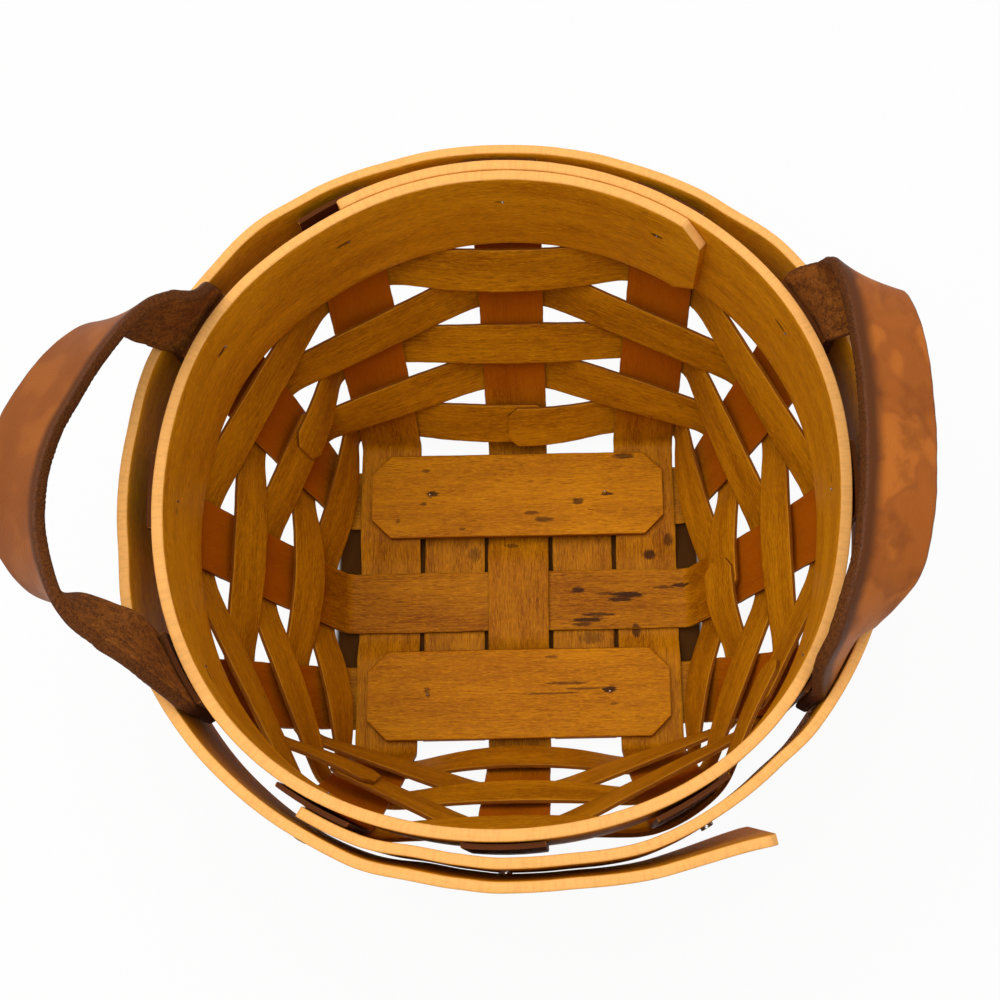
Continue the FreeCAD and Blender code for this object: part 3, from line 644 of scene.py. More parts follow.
WEAVER_DARK, WEAVER_LIGHT = (0.26, 0.074, 0.001, 1), (0.54, 0.205, 0.003, 1)
stake_wood = wood("stained_splint", HONEY_DARK, HONEY_LIGHT, CUT, arris_tone=PAINTED_ARRIS_HIGHLIGHT, wall=0.75,
                  spots=SPLINT_SPOTS)
weaver_wood = wood("stained_weaver", WEAVER_DARK, WEAVER_LIGHT, CUT, arris_tone=PAINTED_ARRIS_HIGHLIGHT)
print("woods:", stake_wood.name, weaver_wood.name)

# %% [markdown]
# ## The splints of the base and wall
# One long strip makes two stakes and the base between them. Its path goes down one wall, round a fold, along
# the base (over and under the strips that it crosses) and up the facing wall. `cup` is how much the strip is
# hollowed across its width where the rim is round.

# %% Paths of the long splints
STAKE_DROP = 2.0
CLIMB_START, CLIMB_SPAN = 0.12, 0.76


def wall_path(stake, sign):
    """Points, sides and hollow of a stake from the base up; sign turns its width round."""
    outward, clockwise, lateral, reach, level = stake_foot(stake)
    path = []
    for turn in np.radians(np.arange(0.0, FOLD_ANGLE, 5.0)):
        out = reach - FOLD + FOLD * math.sin(turn)
        up = level + FOLD * (1 - math.cos(turn))
        path.append((outward * out + clockwise * lateral + np.array([0, 0, up]), sign * clockwise, 0.0))
    for z in np.linspace(foot_height(stake), RIM_TOP - STAKE_DROP, 80):
        left, middle, right = [wall_point(stake, z, off) for off in (-SPLINT / 2, 0.0, SPLINT / 2)]
        hollow = np.linalg.norm(middle - (left + right) / 2) * 2 / (SPLINT / 2) ** 2
        path.append((middle, sign * unit(right - left), hollow))
    return path


def splint_path(first_stake, last_stake, heights):
    """Down the first stake, along the base at the given heights, and up the last stake."""
    outward, clockwise, lateral, reach, level = stake_foot(last_stake)
    base = []
    for place in np.arange(-(reach - FOLD) + 1.0, reach - FOLD - 0.9, 1.0):
        z = np.interp(place, *heights) if heights else level
        base.append((outward * place + clockwise * lateral + np.array([0, 0, z]), clockwise, 0.0))
    whole = wall_path(first_stake, -1.0)[::-1] + base + wall_path(last_stake, 1.0)
    return list(zip(*whole))


def long_heights(outer):
    """Where a front-to-back splint climbs: outer ones over the outer rows, the middle one between."""
    places, heights = [], []
    low, high = (LEVELS[0], LEVELS[2]) if outer else (LEVELS[2], LEVELS[0])
    for edge, after in ((MIDDLE_ROW - SPLINT / 2, -ROW_SPACING + SPLINT / 2),
                        (MIDDLE_ROW + SPLINT / 2, ROW_SPACING - SPLINT / 2)):
        climb = [(edge + (after - edge) * (CLIMB_START + CLIMB_SPAN * share),
                  low + (high - low) * ease(share)) for share in np.linspace(0.0, 1.0, 12)]
        climb = climb if after > 0 else climb[::-1]
        places += [place for place, _height in climb]
        heights += [height for _place, height in climb]
    return places, heights


print("outer splints climb %.2f mm over the rows" % (LEVELS[2] - LEVELS[0]))

# %% The six splints that turn up as stakes
SPLINTS = [("left", 7, 11, long_heights(True)), ("centre", 6, 0, long_heights(False)),
           ("right", 5, 1, long_heights(True)), ("back", 10, 2, None), ("middle", 9, 3, None),
           ("front", 8, 4, None)]
for seed, (label, first, last, heights) in enumerate(SPLINTS, start=1):
    path = splint_path(first, last, heights)
    piece = bend("splint_" + label, path, SPLINT, THICK, SPLINT_EASING, stake_wood, seed)
    dress(piece, "basket", "splint_wood", "stake_splint_" + label)
    print(piece.name, len(piece.data.polygons), "faces")

# %% [markdown]
# ## Fillers and cleats
# Two short splints only close the base, so they stay flat. The cleats are sawn boards with clipped corners:
# a strip with its corners cut is exactly that, so they are cut by the same function and laid on a straight
# path.

# %% The fillers of the base
FILLER_SETBACK = 5.2


def straight_path(start, end, side):
    ends = [np.array(start, float), np.array(end, float)]
    points = [ends[0] + (ends[1] - ends[0]) * share for share in np.linspace(0.0, 1.0, 40)]
    return points, [side] * len(points), [0.0] * len(points)


filler_reach = HALF_DEPTH - FILLER_SETBACK
for seed, (label, sign) in enumerate((("left", -1), ("right", 1)), start=11):
    ends = [(sign * PITCH, end, THICK / 2) for end in (-filler_reach, filler_reach)]
    path = straight_path(*ends, (1.0, 0.0, 0.0))
    piece = bend("filler_" + label, path, SPLINT, THICK, SPLINT_EASING, stake_wood, seed)
    dress(piece, "basket", "splint_wood", "base_filler_" + label)
print("fillers are %.1f mm long" % (2 * filler_reach))

# %% The cleats over the base
CLEAT_SEAT, CLEAT_EASING, CLEAT_RAGGED = 0.2, 0.45, 0.06
CLEAT_BOTTOM = LEVELS[2] + THICK / 2 + CLEAT_SEAT
CLEAT_DARK, CLEAT_LIGHT = (0.31, 0.092, 0.0006, 1), (0.51, 0.186, 0.001, 1)
CLEAT_CUT = (0.20, 0.048, 0.002, 1)
CLEAT_SPOTS = [
    (19.3, 29.1, 2.1, 1.3, 0.8), (8.5, 23.4, 3.6, 1.0, 0.7), (4.5, 25.6, 2.6, 0.8, 0.6),
    (34.4, 44.0, 4.0, 1.0, 0.75), (-29.3, 40.1, 1.6, 0.7, 0.7), (-29.8, 29.1, 1.4, 0.6, 0.7),
    (-38.0, 23.7, 0.9, 0.9, 0.5), (-17.6, 20.6, 1.3, 0.6, 0.6), (-27.0, 32.4, 2.6, 1.1, 0.9),
    (28.6, 31.4, 2.4, 0.7, 0.85), (-28.1, -30.2, 1.2, 1.1, 0.6), (27.6, -31.0, 2.6, 1.0, 0.95),
    (14.1, -28.8, 8.0, 0.5, 0.65), (9.0, -31.9, 10.0, 0.4, 0.6), (20.0, -30.6, 6.0, 0.45, 0.65),
    (10.0, -20.6, 2.2, 0.5, 0.6), (29.0, -35.5, 1.3, 0.6, 0.5)]
cleat_wood = wood("stained_cleat", CLEAT_DARK, CLEAT_LIGHT, CLEAT_CUT, spots=CLEAT_SPOTS)
for seed, (label, sign) in enumerate((("back", 1), ("front", -1)), start=14):
    ends = [(end, sign * ROW_SPACING, CLEAT_BOTTOM + CLEAT_THICK / 2)
            for end in (-CLEAT_LENGTH / 2, CLEAT_LENGTH / 2)]
    path = straight_path(*ends, (0.0, 1.0, 0.0))
    piece = bend("cleat_" + label, path, CLEAT_WIDTH, CLEAT_THICK, CLEAT_EASING, cleat_wood, seed,
                 clips=(CLEAT_CLIP, CLEAT_CLIP), ragged=CLEAT_RAGGED)
    dress(piece, "basket", "cleat_wood", "base_cleat_" + label)
print("cleats lie %.2f mm up" % CLEAT_BOTTOM)

# %% [markdown]
# ## The woven hoops
# Each hoop passes inside one stake and outside the next. Stiff splints don't hug the stakes: a hoop bends
# round the outer side of every second stake and runs nearly straight between them, standing off the stake
# that it passes inside, more at its low edge than at its high one. So each hoop is almost a hexagon. The top
# one stands off most at the back, where the inner rim hoop is double. A hoop starts on top of its own end, so
# the lap shows inside the basket.

# %% How a hoop passes a stake
LAP_STAKES = (4, 7, 10, 3, 0)
LAP_START, LAP_END = 0.46, 0.66
WEAVE = THICK + WEAVE_GAP
BOWS = ((1.89, 2.73), (1.58, 2.63), (1.58, 2.63), (1.58, 2.63), (1.47, 2.31))
BACK_BOWS = (5.67, 6.93)
BULGE, OUTSIDE_SPREAD = 0.95, 1.2


def weaver_point(stake, z, off, offset, bow):
    """A point beside a stake, offset inwards square to the wall and then bowed inwards on the level."""
    nudge = SPLINT / 4
    across = wall_point(stake, z, off + nudge) - wall_point(stake, z, off - nudge)
    up = wall_point(stake, z + nudge, off) - wall_point(stake, z - nudge, off)
    inward = unit(np.cross(across, up))
    level = unit(inward * (1, 1, 0))
    return wall_point(stake, z, off) + inward * offset + level * bow


def outside_point(stake, z, share):
    """A point of a hoop where it passes outside a stake: it bulges a little."""
    bulge = BULGE * (1 - (2 * share) ** 2)
    return weaver_point(stake % STAKES, z, OUTSIDE_SPREAD * SPLINT * share, -WEAVE, -bulge)


def inside_points(stake, z, bow, places, step):
    """A hoop's way past the inside of a stake: straight from the stake before to the stake after.

    It bows just where it would touch. step lifts it over the hoop's own end."""
    start, end = outside_point(stake - 1, z, 0.5), outside_point(stake + 1, z, -0.5)
    along = end - start
    clear = weaver_point(stake, z, 0.0, WEAVE, bow)
    level = unit((clear - wall_point(stake, z, 0.0)) * (1, 1, 0))
    nearest = (clear - start).dot(along) / along.dot(along)
    bend = clear - start - along * nearest
    bend = bend * (bend.dot(level) > 0)
    rise = places * (1 - places) / (nearest * (1 - nearest))
    lapping = step * (1 - ease((places - LAP_END) / (1 - LAP_END)))
    return start + np.outer(places, along) + np.outer(rise, bend) + np.outer(lapping, level)


print("a hoop's middle stands %.2f mm off a stake's" % WEAVE)

# %% Paths of the hoops
SMOOTHING_PASSES = 6


def weaver_path(row):
    """Row 0 is the highest. The path runs clockwise from the lap."""
    high = rows_top - row * row_pitch - ROW_GAP / 2
    low = high - row_pitch + ROW_GAP
    edges = []
    for z, bow, back_bow in zip((high, low), BOWS[row], BACK_BOWS):
        line = []
        for number in range(STAKES + 1):
            stake = (LAP_STAKES[row] + number) % STAKES
            if (stake + row) % 2:
                line += [outside_point(stake, z, share) for share in np.linspace(-0.5, 0.5, 13)]
                continue
            places = np.linspace(0.02 if number else LAP_START, 0.98 if number < STAKES else LAP_END, 32)
            stand = bow if stake or row else back_bow
            line += list(inside_points(stake, z, stand, places, 0.0 if number else THICK + LAYER))
        line = np.array(line)
        for _pass in range(SMOOTHING_PASSES):
            line[1:-1] = (line[:-2] + 2 * line[1:-1] + line[2:]) / 4
        edges.append(line)
    upper, lower = edges
    sides = upper - lower
    widths = np.linalg.norm(sides, axis=1)
    return ((upper + lower) / 2, sides / widths[:, None], np.zeros(len(upper))), widths.mean()


print("the top hoop's path has", len(weaver_path(0)[0][0]), "points")

# %% Weaving the five hoops
HOOP_CLIP = 3.0
for row in range(ROWS):
    path, width = weaver_path(row)
    number = ROWS - row
    piece = bend("hoop_%d" % number, path, width, THICK, SPLINT_EASING, weaver_wood, 21 + row,
                 clips=(HOOP_CLIP, HOOP_CLIP))
    dress(piece, "basket", "weaver_wood", "weaver_row_%d" % number)
    print(piece.name, "%.1f mm wide" % width)

# %% [markdown]
# ## The rim hoops
# Both hoops are thick strips wound into a spiral, so that the end of each laps its start. The inner hoop's
# end has clipped corners. The outer hoop's end has sprung loose in front. Along the inner face there are
# small dark marks where the points of the tacks come through.

# %% Paths of the rim hoops
HOOP_STEP = 0.8


def lap_lean(turn):
    """How far in the low edge of the outer lap stands, so that it stays on the layer under it."""
    share = sprung_share(turn)
    return LOOSE_LAP * ease(share / LOOSE_SHARE) + (SPRUNG_LEAN - LOOSE_LAP) * share ** SPRUNG_POWER


def hoop_path(face, start, end, thickness, lean=None):
    """A hoop's path; lean gives how far in its low edge stands at an unwound angle."""
    points, sides = [], []
    for turn in np.linspace(start, end, int(abs(end - start) / HOOP_STEP)):
        stand = lean(turn) if lean else 0.0
        radius = face(turn) + thickness / 2
        high, low = rim_point(turn, radius, RIM_TOP), rim_point(turn, radius - stand, RIM_BOTTOM)
        points.append((high + low) / 2)
        sides.append(unit(high - low))
    return np.array(points), np.array(sides), np.zeros(len(points))


inner_path = hoop_path(inner_face, INNER_START, INNER_TIP, INNER_BAND)
outer_path = hoop_path(outer_face, OUTER_START, OUTER_TIP, OUTER_BAND, lap_lean)
inner_length = np.linalg.norm(np.diff(inner_path[0], axis=0), axis=1).sum()
print("inner hoop is %.0f mm long" % inner_length)

# %% Winding the rim hoops
INNER_SEED, OUTER_SEED = 31, 32
RIM_DARK, RIM_LIGHT = (0.42, 0.13, 0.0016, 1), (0.72, 0.30, 0.006, 1)
RIM_EASING, RIM_RAGGED, START_CLIP = 0.45, 0.08, 0.6
TACK_DROP = 12.0
tack_marks = []
for stake in range(STAKES):
    turn = min(layers(stake_angle(stake), INNER_TIP, INNER_START))
    share = (INNER_START - turn) / (INNER_START - INNER_TIP)
    u, v, _w = GRAIN_SHIFT * INNER_SEED / MM + (share * inner_length, BAND_DEPTH / 2 - TACK_DROP, 0.0)
    tack_marks.append((u, v, 1.6 + 0.5 * (stake % 3), 0.8, (0.5, 0.9, 0.75)[stake % 3]))
rim_wood = wood("rim_hoop", RIM_DARK, RIM_LIGHT, SAWN, marks=tack_marks, pale=1.05, ticked=0.2)
for label, path, thickness, seed, tip_clip in (("inner", inner_path, INNER_BAND, INNER_SEED, 6.0),
                                               ("outer", outer_path, OUTER_BAND, OUTER_SEED, 1.5)):
    piece = bend("rim_hoop_" + label, path, BAND_DEPTH, thickness, RIM_EASING, rim_wood, seed,
                 clips=(START_CLIP, tip_clip), ragged=RIM_RAGGED)
    dress(piece, "basket", "rim_wood", label + "_rim_band")
    print(piece.name, len(piece.data.polygons), "faces")

# %% [markdown]
# ## Tacks and brads
# A tack holds the rim at each stake: its head is outside, its point just shows inside. Four brads were driven
# up through the base, and their points show on the cleats. One nail is built inside a node tree and copied to
# every marked point, turned to the point's own direction.

# %% Worn steel
STEEL, RUST = (0.52, 0.50, 0.47, 1), (0.09, 0.035, 0.015, 1)


def steel(name, clean):
    """Steel with rust; clean from 0 to 1 is about how much of it still shines."""
    material, shader, start = new_material(name)
    spots = start.make("ShaderNodeTexNoise", None,
                       {"Vector": object_place(start), "Scale": 1400.0, "Detail": 3.0})
    rust = spots.between(clean - 0.09, clean + 0.09)
    plug(shader, "Base Color", rust.mix(STEEL, RUST))
    plug(shader, "Metallic", 1.0 - rust * 0.8)
    plug(shader, "Roughness", rust * 0.45 + 0.28)
    return material


tack_steel, brad_steel = steel("rusted_steel", 0.42), steel("worn_steel", 0.59)
print("steels:", tack_steel.name, brad_steel.name)

# %% The tree that sets nails at points
nail_tree, given = new_tree("set_nails", [
    ("Shank", "NodeSocketFloat"), ("Head", "NodeSocketFloat"), ("HeadHeight", "NodeSocketFloat"),
    ("Point", "NodeSocketFloat"), ("Finish", "NodeSocketMaterial")])
start = Wire(nail_tree)
reach, way = stored(start, "reach", "FLOAT"), stored(start, "way", "FLOAT_VECTOR")
disc = start.make("GeometryNodeMeshCylinder", None,
                  {"Vertices": 20, "Radius": given["Head"] * 0.5, "Depth": given["HeadHeight"]})
rim = start.make("GeometryNodeMeshCone", None, {
    "Vertices": 20, "Radius Top": given["Head"] * 0.36, "Radius Bottom": given["Head"] * 0.5,
    "Depth": given["HeadHeight"] * 0.6})
crown = start.make("GeometryNodeTransform", None, {"Geometry": rim, "Rotation": (math.pi, 0.0, 0.0)})
tip = start.make("GeometryNodeMeshCone", None, {
    "Vertices": 12, "Radius Top": given["Shank"] * 0.08, "Radius Bottom": given["Shank"] * 0.5,
    "Depth": given["Point"]})
turn = start.make("FunctionNodeAlignRotationToVector", {"axis": "Z"}, {"Vector": way})
head_points = start.make("GeometryNodeMeshToPoints", None, {"Mesh": given["Geometry"]})
tip_points = start.make("GeometryNodeSetPosition", None,
                        {"Geometry": head_points, "Offset": way.scaled(reach)})
joined = start.make("GeometryNodeJoinGeometry")
for points, shape in ((head_points, disc), (head_points, crown), (tip_points, tip)):
    copies = start.make("GeometryNodeInstanceOnPoints", None,
                        {"Points": points, "Instance": shape, "Rotation": turn})
    nail_tree.links.new(copies.socket, joined.socket.node.inputs[0])
close_tree(joined, given["Finish"])


def nail_points(name, entries):
    """A mesh of loose points: each entry is (place, direction, distance from head to point)."""
    places, ways, reaches = zip(*entries)
    mesh = bpy.data.meshes.new(name)
    mesh.from_pydata([tuple(np.array(place) * MM) for place in places], [], [])
    store(mesh, "way", "FLOAT_VECTOR", ways)
    store(mesh, "reach", "FLOAT", np.array(reaches) * MM)
    return mesh


def set_nails(name, entries, shank, head, head_height, point, finish, node):
    """Nails of one size, in millimetres, that stand for a measured node."""
    piece = run_tree(name, nail_points(name, entries), nail_tree, Shank=shank * MM, Head=head * MM,
                     HeadHeight=head_height * MM, Point=point * MM, Finish=finish)
    dress(piece, "basket", "nail_steel", node)


print("nail tree:", len(nail_tree.nodes), "nodes")

# %% Setting the tacks and the brads
HELD_LAP, BRAD_OFFSET = 15.0, 7.5
HEAD_STAND, TIP_STAND = 0.35, 0.15
BRAD_FOOT, BRAD_STAND = 0.25, 0.3
tacks = []
for stake in range(STAKES):
    angle = stake_angle(stake)
    held = layers(angle, OUTER_START, OUTER_LAP + HELD_LAP)
    head = max(outer_face(turn) for turn in held) + OUTER_BAND + HEAD_STAND
    tip = min(inner_face(turn) for turn in layers(angle, INNER_TIP, INNER_START))
    inward = rim_point(angle, -1.0, 0.0) - RIM_MIDDLE
    tacks.append((rim_point(angle, head, RIM_TOP - TACK_DROP), inward, head - tip - TIP_STAND))
set_nails("tacks_of_rim", tacks, 1.1, 3.2, 0.7, 0.6, tack_steel, "rim_tacks")
cleat_top = CLEAT_BOTTOM + CLEAT_THICK
brads = [((x * (PITCH + BRAD_OFFSET), y * ROW_SPACING, BRAD_FOOT), (0.0, 0.0, 1.0), cleat_top + BRAD_STAND)
         for x in (-1, 1) for y in (-1, 1)]
set_nails("brads_of_base", brads, 1.2, 2.6, 0.5, 1.2, brad_steel, "cleat_brads")
print(len(tacks), "tacks and", len(brads), "brads")

# %% [markdown]
# ## The leather ears
# Each strap is one piece of thick leather. Its tails stand between the stakes and the outer hoop; above the
# rim it leans out and rolls over, so the flesh side shows near the rim and the smooth side shows at the top
# of the ear. It is cut flat and bent with the same tree.

# %% Leather: smooth outside, suede inside
TAN_PALE, TAN_DEEP = (0.43, 0.120, 0.014), (0.32, 0.082, 0.009)
SOILED, TIDE_MARK, BURNISHED = (0.17, 0.042, 0.005, 1), (0.17, 0.040, 0.006, 1), (0.08, 0.021, 0.003, 1)
SUEDE_DARK, SUEDE_LIGHT = (0.055, 0.014, 0.002, 1), (0.28, 0.085, 0.009, 1)
SIDE_DARK, SIDE_LIGHT = (0.05, 0.013, 0.002, 1), (0.10, 0.028, 0.004, 1)
LEATHER_GLOSS = 0.13


def leather(name, outside, across, margin, blotches, depth):
    """outside is +1 or -1: the side of the strip's depth that is the smooth one.

    across is where the strip's middle lies in `grain`, margin is the burnished border of the inner edge,
    blotches is how strong the stains are, and depth makes the tan paler or deeper."""
    material, shader, start = new_material(name)
    grain = painted(start, "grain", "Vector")
    smooth = (painted(start, "hide") * outside).between(0.2, 0.8)
    stains, wear, fibres, tufts = [grain.noise(scale, detail) for scale, detail in (
        (55.0, 2.0), (120.0, 3.0), (2100.0, 3.0), (520.0, 3.0))]
    pale, deep = [toned(tone, depth, depth, depth) for tone in (TAN_PALE, TAN_DEEP)]
    tan = stains.between(0.38, 0.62).mix(pale, deep)
    tan = (wear.between(0.48, 0.7) * blotches).mix(tan, SOILED)
    tide = stains.between(0.47, 0.51) - stains.between(0.51, 0.58)
    tan = (tide * blotches * 0.6).mix(tan, TIDE_MARK)
    inside = grain.parts()[1] - (across + STRAP / 2 * MM)
    ragged = inside + wear * MM - 0.5 * MM
    tan = ragged.between(-1.9 * margin * MM, -0.6 * margin * MM).mix(tan, BURNISHED)
    nap = fibres.between(0.3, 0.7) * 0.6 + tufts.between(0.35, 0.65) * 0.4
    colour = smooth.mix(nap.mix(SUEDE_DARK, SUEDE_LIGHT), tan)
    side = fibres.between(0.35, 0.65).mix(SIDE_DARK, SIDE_LIGHT)
    colour = (painted(start, "edge") * 0.9).mix(colour, side)
    plug(shader, "Base Color", colour)
    plug(shader, "Roughness", smooth * (wear * 0.2 - 0.5) + 0.92)
    shader.inputs["Specular IOR Level"].default_value = LEATHER_GLOSS
    pebble = start.make("ShaderNodeTexVoronoi", None, {"Vector": grain, "Scale": 1500.0})
    bumped(shader, smooth * (pebble * 0.25 + wear * 0.2 - fibres) + fibres, 0.6, 0.5 * MM)
    return material


print("leather ready")

# %% Stations of the ears
# Shares along the line of the anchors, of the reach and of the rise; then the direction across the strap.
LEFT_EAR = [
    ((0.905, 0.083, 0.231), (-0.750, 0.415, 0.514)),
    ((0.876, 0.187, 0.436), (-0.675, 0.263, 0.690)),
    ((0.844, 0.300, 0.604), (-0.634, 0.025, 0.773)),
    ((0.786, 0.418, 0.737), (-0.630, -0.233, 0.740)),
    ((0.693, 0.549, 0.834), (-0.661, -0.403, 0.633)),
    ((0.551, 0.694, 0.899), (-0.733, -0.431, 0.526)),
    ((0.368, 0.832, 0.952), (-0.808, -0.375, 0.455)),
    ((0.154, 0.950, 0.997), (-0.856, -0.252, 0.451)),
    ((-0.078, 0.999, 1.000), (-0.849, -0.103, 0.518)),
    ((-0.294, 0.977, 0.962), (-0.781, 0.008, 0.625)),
    ((-0.469, 0.894, 0.889), (-0.655, 0.031, 0.755)),
    ((-0.596, 0.789, 0.799), (-0.515, -0.049, 0.856)),
    ((-0.677, 0.672, 0.700), (-0.378, -0.245, 0.893)),
    ((-0.729, 0.533, 0.597), (-0.266, -0.486, 0.832)),
    ((-0.797, 0.350, 0.464), (-0.222, -0.608, 0.763)),
    ((-0.873, 0.161, 0.291), (-0.275, -0.745, 0.608)),
]
RIGHT_EAR = [
    ((0.938, 0.168, 0.121), (-0.261, 0.945, 0.195)),
    ((0.929, 0.319, 0.289), (-0.346, 0.891, 0.292)),
    ((0.928, 0.480, 0.476), (-0.577, 0.712, 0.400)),
    ((0.923, 0.639, 0.667), (-0.794, 0.386, 0.470)),
    ((0.872, 0.765, 0.826), (-0.877, 0.083, 0.473)),
    ((0.742, 0.858, 0.926), (-0.898, -0.065, 0.436)),
    ((0.550, 0.942, 0.988), (-0.921, -0.099, 0.376)),
    ((0.262, 0.993, 1.001), (-0.915, -0.043, 0.402)),
    ((-0.046, 0.970, 0.982), (-0.915, 0.029, 0.402)),
    ((-0.336, 0.875, 0.928), (-0.905, 0.089, 0.415)),
    ((-0.579, 0.697, 0.820), (-0.854, 0.078, 0.514)),
    ((-0.751, 0.407, 0.646), (-0.746, -0.092, 0.660)),
    ((-0.872, 0.170, 0.439), (-0.671, -0.326, 0.666)),
    ((-0.945, 0.005, 0.220), (-0.658, -0.571, 0.491)),
]
print(len(LEFT_EAR), "and", len(RIGHT_EAR), "stations")

# %% Paths of the straps
STRAP_STAND = 4.5
TAIL_DEPTHS = np.array([26.0, 18.0, 10.0, 4.0, 0.5])
STRAP_STEPS = 8


def strap_radius(stake):
    """Middle of a strap's tail outside a stake."""
    return stake_radii[stake] + THICK / 2 + FIT + HIDE / 2


def ear_rows(stakes, stations, reach, rise):
    """Rows of an ear from its back anchor to its front one, as (middle, across)."""
    height = RIM_TOP + STRAP_STAND
    first, last = [rim_point(stake_angle(stake), strap_radius(stake), height) for stake in stakes]
    middle, half = (first + last) / 2, (first - last) / 2
    side = math.copysign(1, middle[0])
    rows = []
    for (along, outward, upward), (out, back, up) in stations:
        centre = middle + half * along + np.array([side * reach * outward, 0.0, rise * upward])
        rows.append((centre, np.array([side * out, back, up])))
    return rows


def smooth_through(keys, count):
    """A smooth curve through key rows: at each it runs along the line between its neighbours."""
    keys = np.array(keys, float)
    padded = np.vstack([2 * keys[0] - keys[1], keys, 2 * keys[-1] - keys[-2]])
    rows = []
    for spot in range(len(keys) - 1):
        a, b, c, d = padded[spot:spot + 4]
        for share in np.linspace(0, 1, count, endpoint=False):
            rows.append(0.5 * (2 * b + (c - a) * share + (2 * a - 5 * b + 4 * c - d) * share ** 2
                               + (3 * b - a - 3 * c + d) * share ** 3))
    return np.array(rows + [keys[-1]])


def strap_path(stakes, stations, reach, rise):
    """The whole strap: up one tail, round the ear and down the other tail."""
    ear = ear_rows(stakes, stations, reach, rise)
    tails = []
    for stake, (_centre, nearest) in zip(stakes, (ear[0], ear[-1])):
        angle, radius = stake_angle(stake), strap_radius(stake)
        clockwise = rim_point(angle - 90.0, 1.0, 0.0) - RIM_MIDDLE
        side = math.copysign(1, nearest.dot(clockwise)) * clockwise
        tails.append([(rim_point(angle, radius, z), side, 1 / radius) for z in RIM_TOP - TAIL_DEPTHS])
    rows = tails[0] + [(centre, across, 0.0) for centre, across in ear] + tails[1][::-1]
    points = smooth_through([row[0] for row in rows], STRAP_STEPS)
    sides = smooth_through([row[1] for row in rows], STRAP_STEPS)
    cups = smooth_through([[row[2]] for row in rows], STRAP_STEPS)[:, 0]
    ways = np.gradient(points, axis=0)
    ways /= np.linalg.norm(ways, axis=1)[:, None]
    sides -= ways * (sides * ways).sum(1)[:, None]
    return points, sides / np.linalg.norm(sides, axis=1)[:, None], cups


print("strap tails go %.0f mm down" % TAIL_DEPTHS.max())

# %% Bending the straps
# Each ear: its stakes, stations, reach and rise, then its leather's margin, blotches and depth.
STRAP_EASING, STRAP_RAGGED, STRAP_FUZZ, STRAP_STEP = 0.7, 0.15, 0.11, 0.4
IN_TAIL = 10
EARS = [("left", (10, 8), LEFT_EAR, 29.6, 18.2, (1.6, 0.35, 0.6)),
        ("right", (2, 4), RIGHT_EAR, 12.6, 19.2, (3.0, 0.6, 0.88))]
for seed, (label, stakes, stations, reach, rise, hide) in enumerate(EARS, start=41):
    points, sides, cups = strap_path(stakes, stations, reach, rise)
    normal = np.cross(sides[IN_TAIL], points[IN_TAIL + 1] - points[IN_TAIL])
    outward = (points[IN_TAIL] - RIM_MIDDLE) * (1, 1, 0)
    outside = float(np.sign(normal.dot(outward)))
    _shift, across, deep = GRAIN_SHIFT * seed
    finish = leather("leather_" + label, outside, across, *hide)
    piece = bend("strap_" + label, (points, sides, -outside * cups), STRAP, HIDE, STRAP_EASING, finish, seed,
                 ragged=STRAP_RAGGED, fuzz=STRAP_FUZZ, step=STRAP_STEP)
    grain = np.zeros(len(piece.data.vertices) * 3, np.float32)
    piece.data.attributes["grain"].data.foreach_get("vector", grain)
    depth = grain.reshape(-1, 3)[:, 2] - deep
    store(piece.data, "hide", "FLOAT", np.clip(depth / (0.45 * HIDE * MM), -1, 1))
    label + "_handle"
    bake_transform(piece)
    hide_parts(*[label + "_handle_" + part for part in ("loop", "tails", "bends")])
    print(piece.name, "smooth side", outside)

# %% [markdown]
# ## Floor, light and camera
# The basket was photographed from above on a white surface. The floor is pale; to the camera it adds its own
# white, so that only a faint shadow is left, except under the base: there a dark shadow is painted on the
# floor without that white, so that the gaps between the splints are dark. The world behind it is white in
# the same way. One large soft lamp hangs above, a little to the left.

# %% The floor
# The second colour is a painted shadow under the middle of the base, and the two pairs of sizes in x and y
# give the soft edges of that patch.
FLOOR_PALE, FLOOR_PAINTED_SHADOW = (0.62, 0.62, 0.62, 1), (0.05, 0.018, 0.004, 1)
FLOOR_WHITE = 0.93
SHADOW_PATCH_X, SHADOW_PATCH_Y = (56.5 * MM, 59.5 * MM), (26 * MM, 38 * MM)


def background_rays(start):
    """1 for rays that show the background itself: from the camera, in a reflection or through glass."""
    seen, glossy, through = [start.make("ShaderNodeLightPath", output="Is " + kind + " Ray")
                             for kind in ("Camera", "Glossy", "Transmission")]
    return seen.most(glossy.most(through))


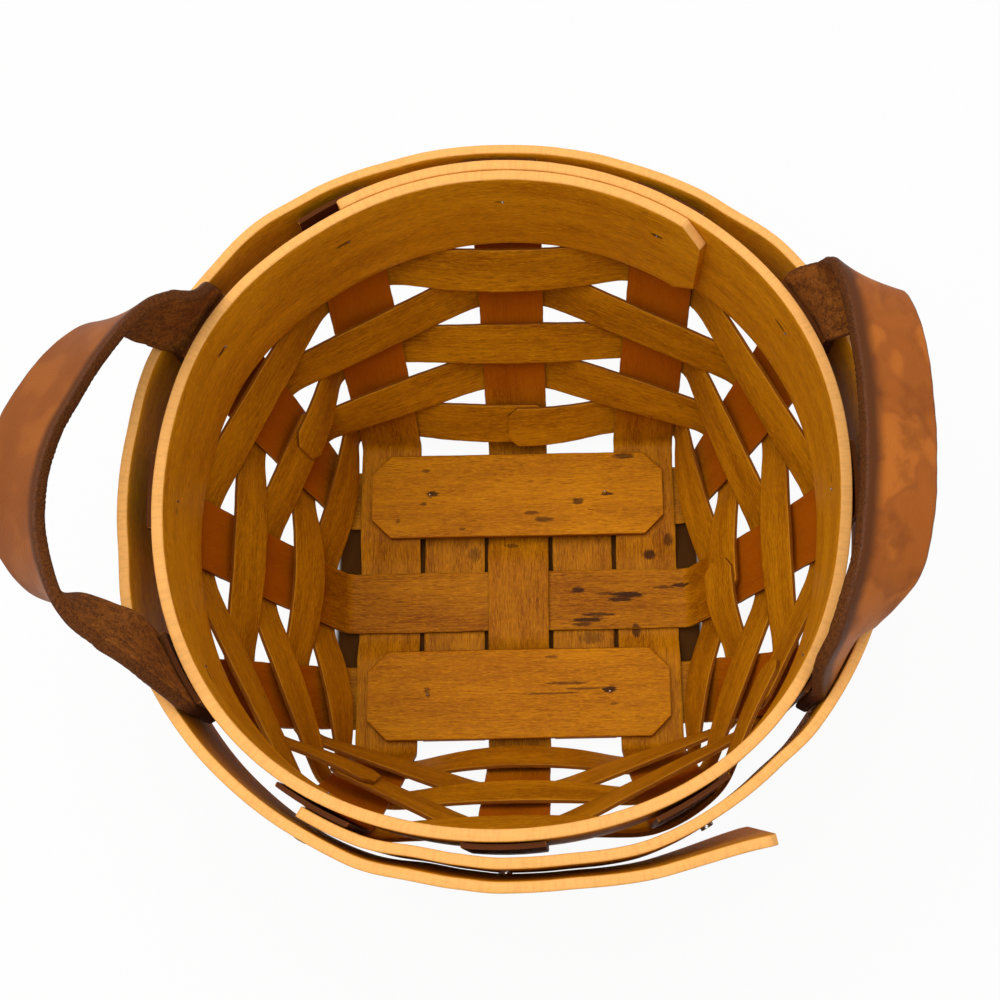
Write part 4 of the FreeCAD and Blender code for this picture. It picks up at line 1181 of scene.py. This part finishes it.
def floor_finish():
    """Pale and matt, with a dark shadow painted under the middle of the base that also keeps out the white,
    and nearly white to the camera.
    """
    material, shader, start = new_material("white_floor")
    shader.inputs["Roughness"].default_value = 0.9
    glow = start.make("ShaderNodeEmission", None, {"Color": (1, 1, 1, 1), "Strength": 1.0})
    x, y, _z = object_place(start).parts()
    # Painted shadow: under the middle of the base the floor is painted dark and takes none of the camera's
    # white.
    painted_shadow = x.size().between(*SHADOW_PATCH_X, 1.0, 0.0) * y.size().between(*SHADOW_PATCH_Y, 1.0, 0.0)
    share = background_rays(start) * (1.0 - painted_shadow) * FLOOR_WHITE
    plug(shader, "Base Color", painted_shadow.mix(FLOOR_PALE, FLOOR_PAINTED_SHADOW))
    shader.inputs["Specular IOR Level"].default_value = 0.0
    base = Wire(material.node_tree, shader.outputs[0])
    both = start.make("ShaderNodeMixShader", None, {0: share, 1: base, 2: glow})
    out = material.node_tree.nodes["Material Output"]
    material.node_tree.links.new(both.socket, out.inputs["Surface"])
    return material


floor_mesh = bpy.data.meshes.new("floor")
floor_mesh.from_pydata([(-3, -3, 0), (3, -3, 0), (3, 3, 0), (-3, 3, 0)], [], [(0, 1, 2, 3)])
floor = bpy.data.objects.new("floor", floor_mesh)
floor_mesh.materials.append(floor_finish())
collection.objects.link(floor)
print("floor", [round(side, 1) for side in floor.dimensions], "m")

# %% Light
WORLD_LIGHT = 0.65
world = bpy.data.worlds.new("studio")
world.use_nodes = True
background = world.node_tree.nodes["Background"]
background.inputs["Color"].default_value = (1, 1, 1, 1)
brightness = background_rays(Wire(world.node_tree)) * (1.0 - WORLD_LIGHT) + WORLD_LIGHT
world.node_tree.links.new(brightness.socket, background.inputs["Strength"])
bpy.context.scene.world = world
lamp = bpy.data.lights.new("softbox", "AREA")
lamp.shape = "DISK"
lamp.size = 1.0
lamp.energy = 9.5
softbox = bpy.data.objects.new("softbox", lamp)
softbox.location = (-0.15, 0.08, 1.0)
softbox.rotation_euler = (-softbox.location).to_track_quat("-Z", "Y").to_euler()
collection.objects.link(softbox)
print("softbox of", lamp.energy, "W")

# %% Camera
CAMERA_PLACE = (0.017026, -0.094115, 0.433605)
right = Vector((0.9998144, -0.0190348, -0.0029751))
up = Vector((0.0190686, 0.9556672, 0.2938311))
camera_data = bpy.data.cameras.new("camera")
camera_data.lens = 50.17
camera_data.sensor_width = 36.0
camera_data.shift_x = -0.0743
camera_data.shift_y = -0.0227
camera_data.clip_start = 0.01
camera = bpy.data.objects.new("camera", camera_data)
turned = Matrix((right, up, right.cross(up))).transposed().to_4x4()
camera.matrix_world = Matrix.Translation(CAMERA_PLACE) @ turned
collection.objects.link(camera)
bpy.context.scene.camera = camera
bpy.context.scene.view_settings.view_transform = "Standard"
print("camera", [round(part, 3) for part in camera.matrix_world.translation])
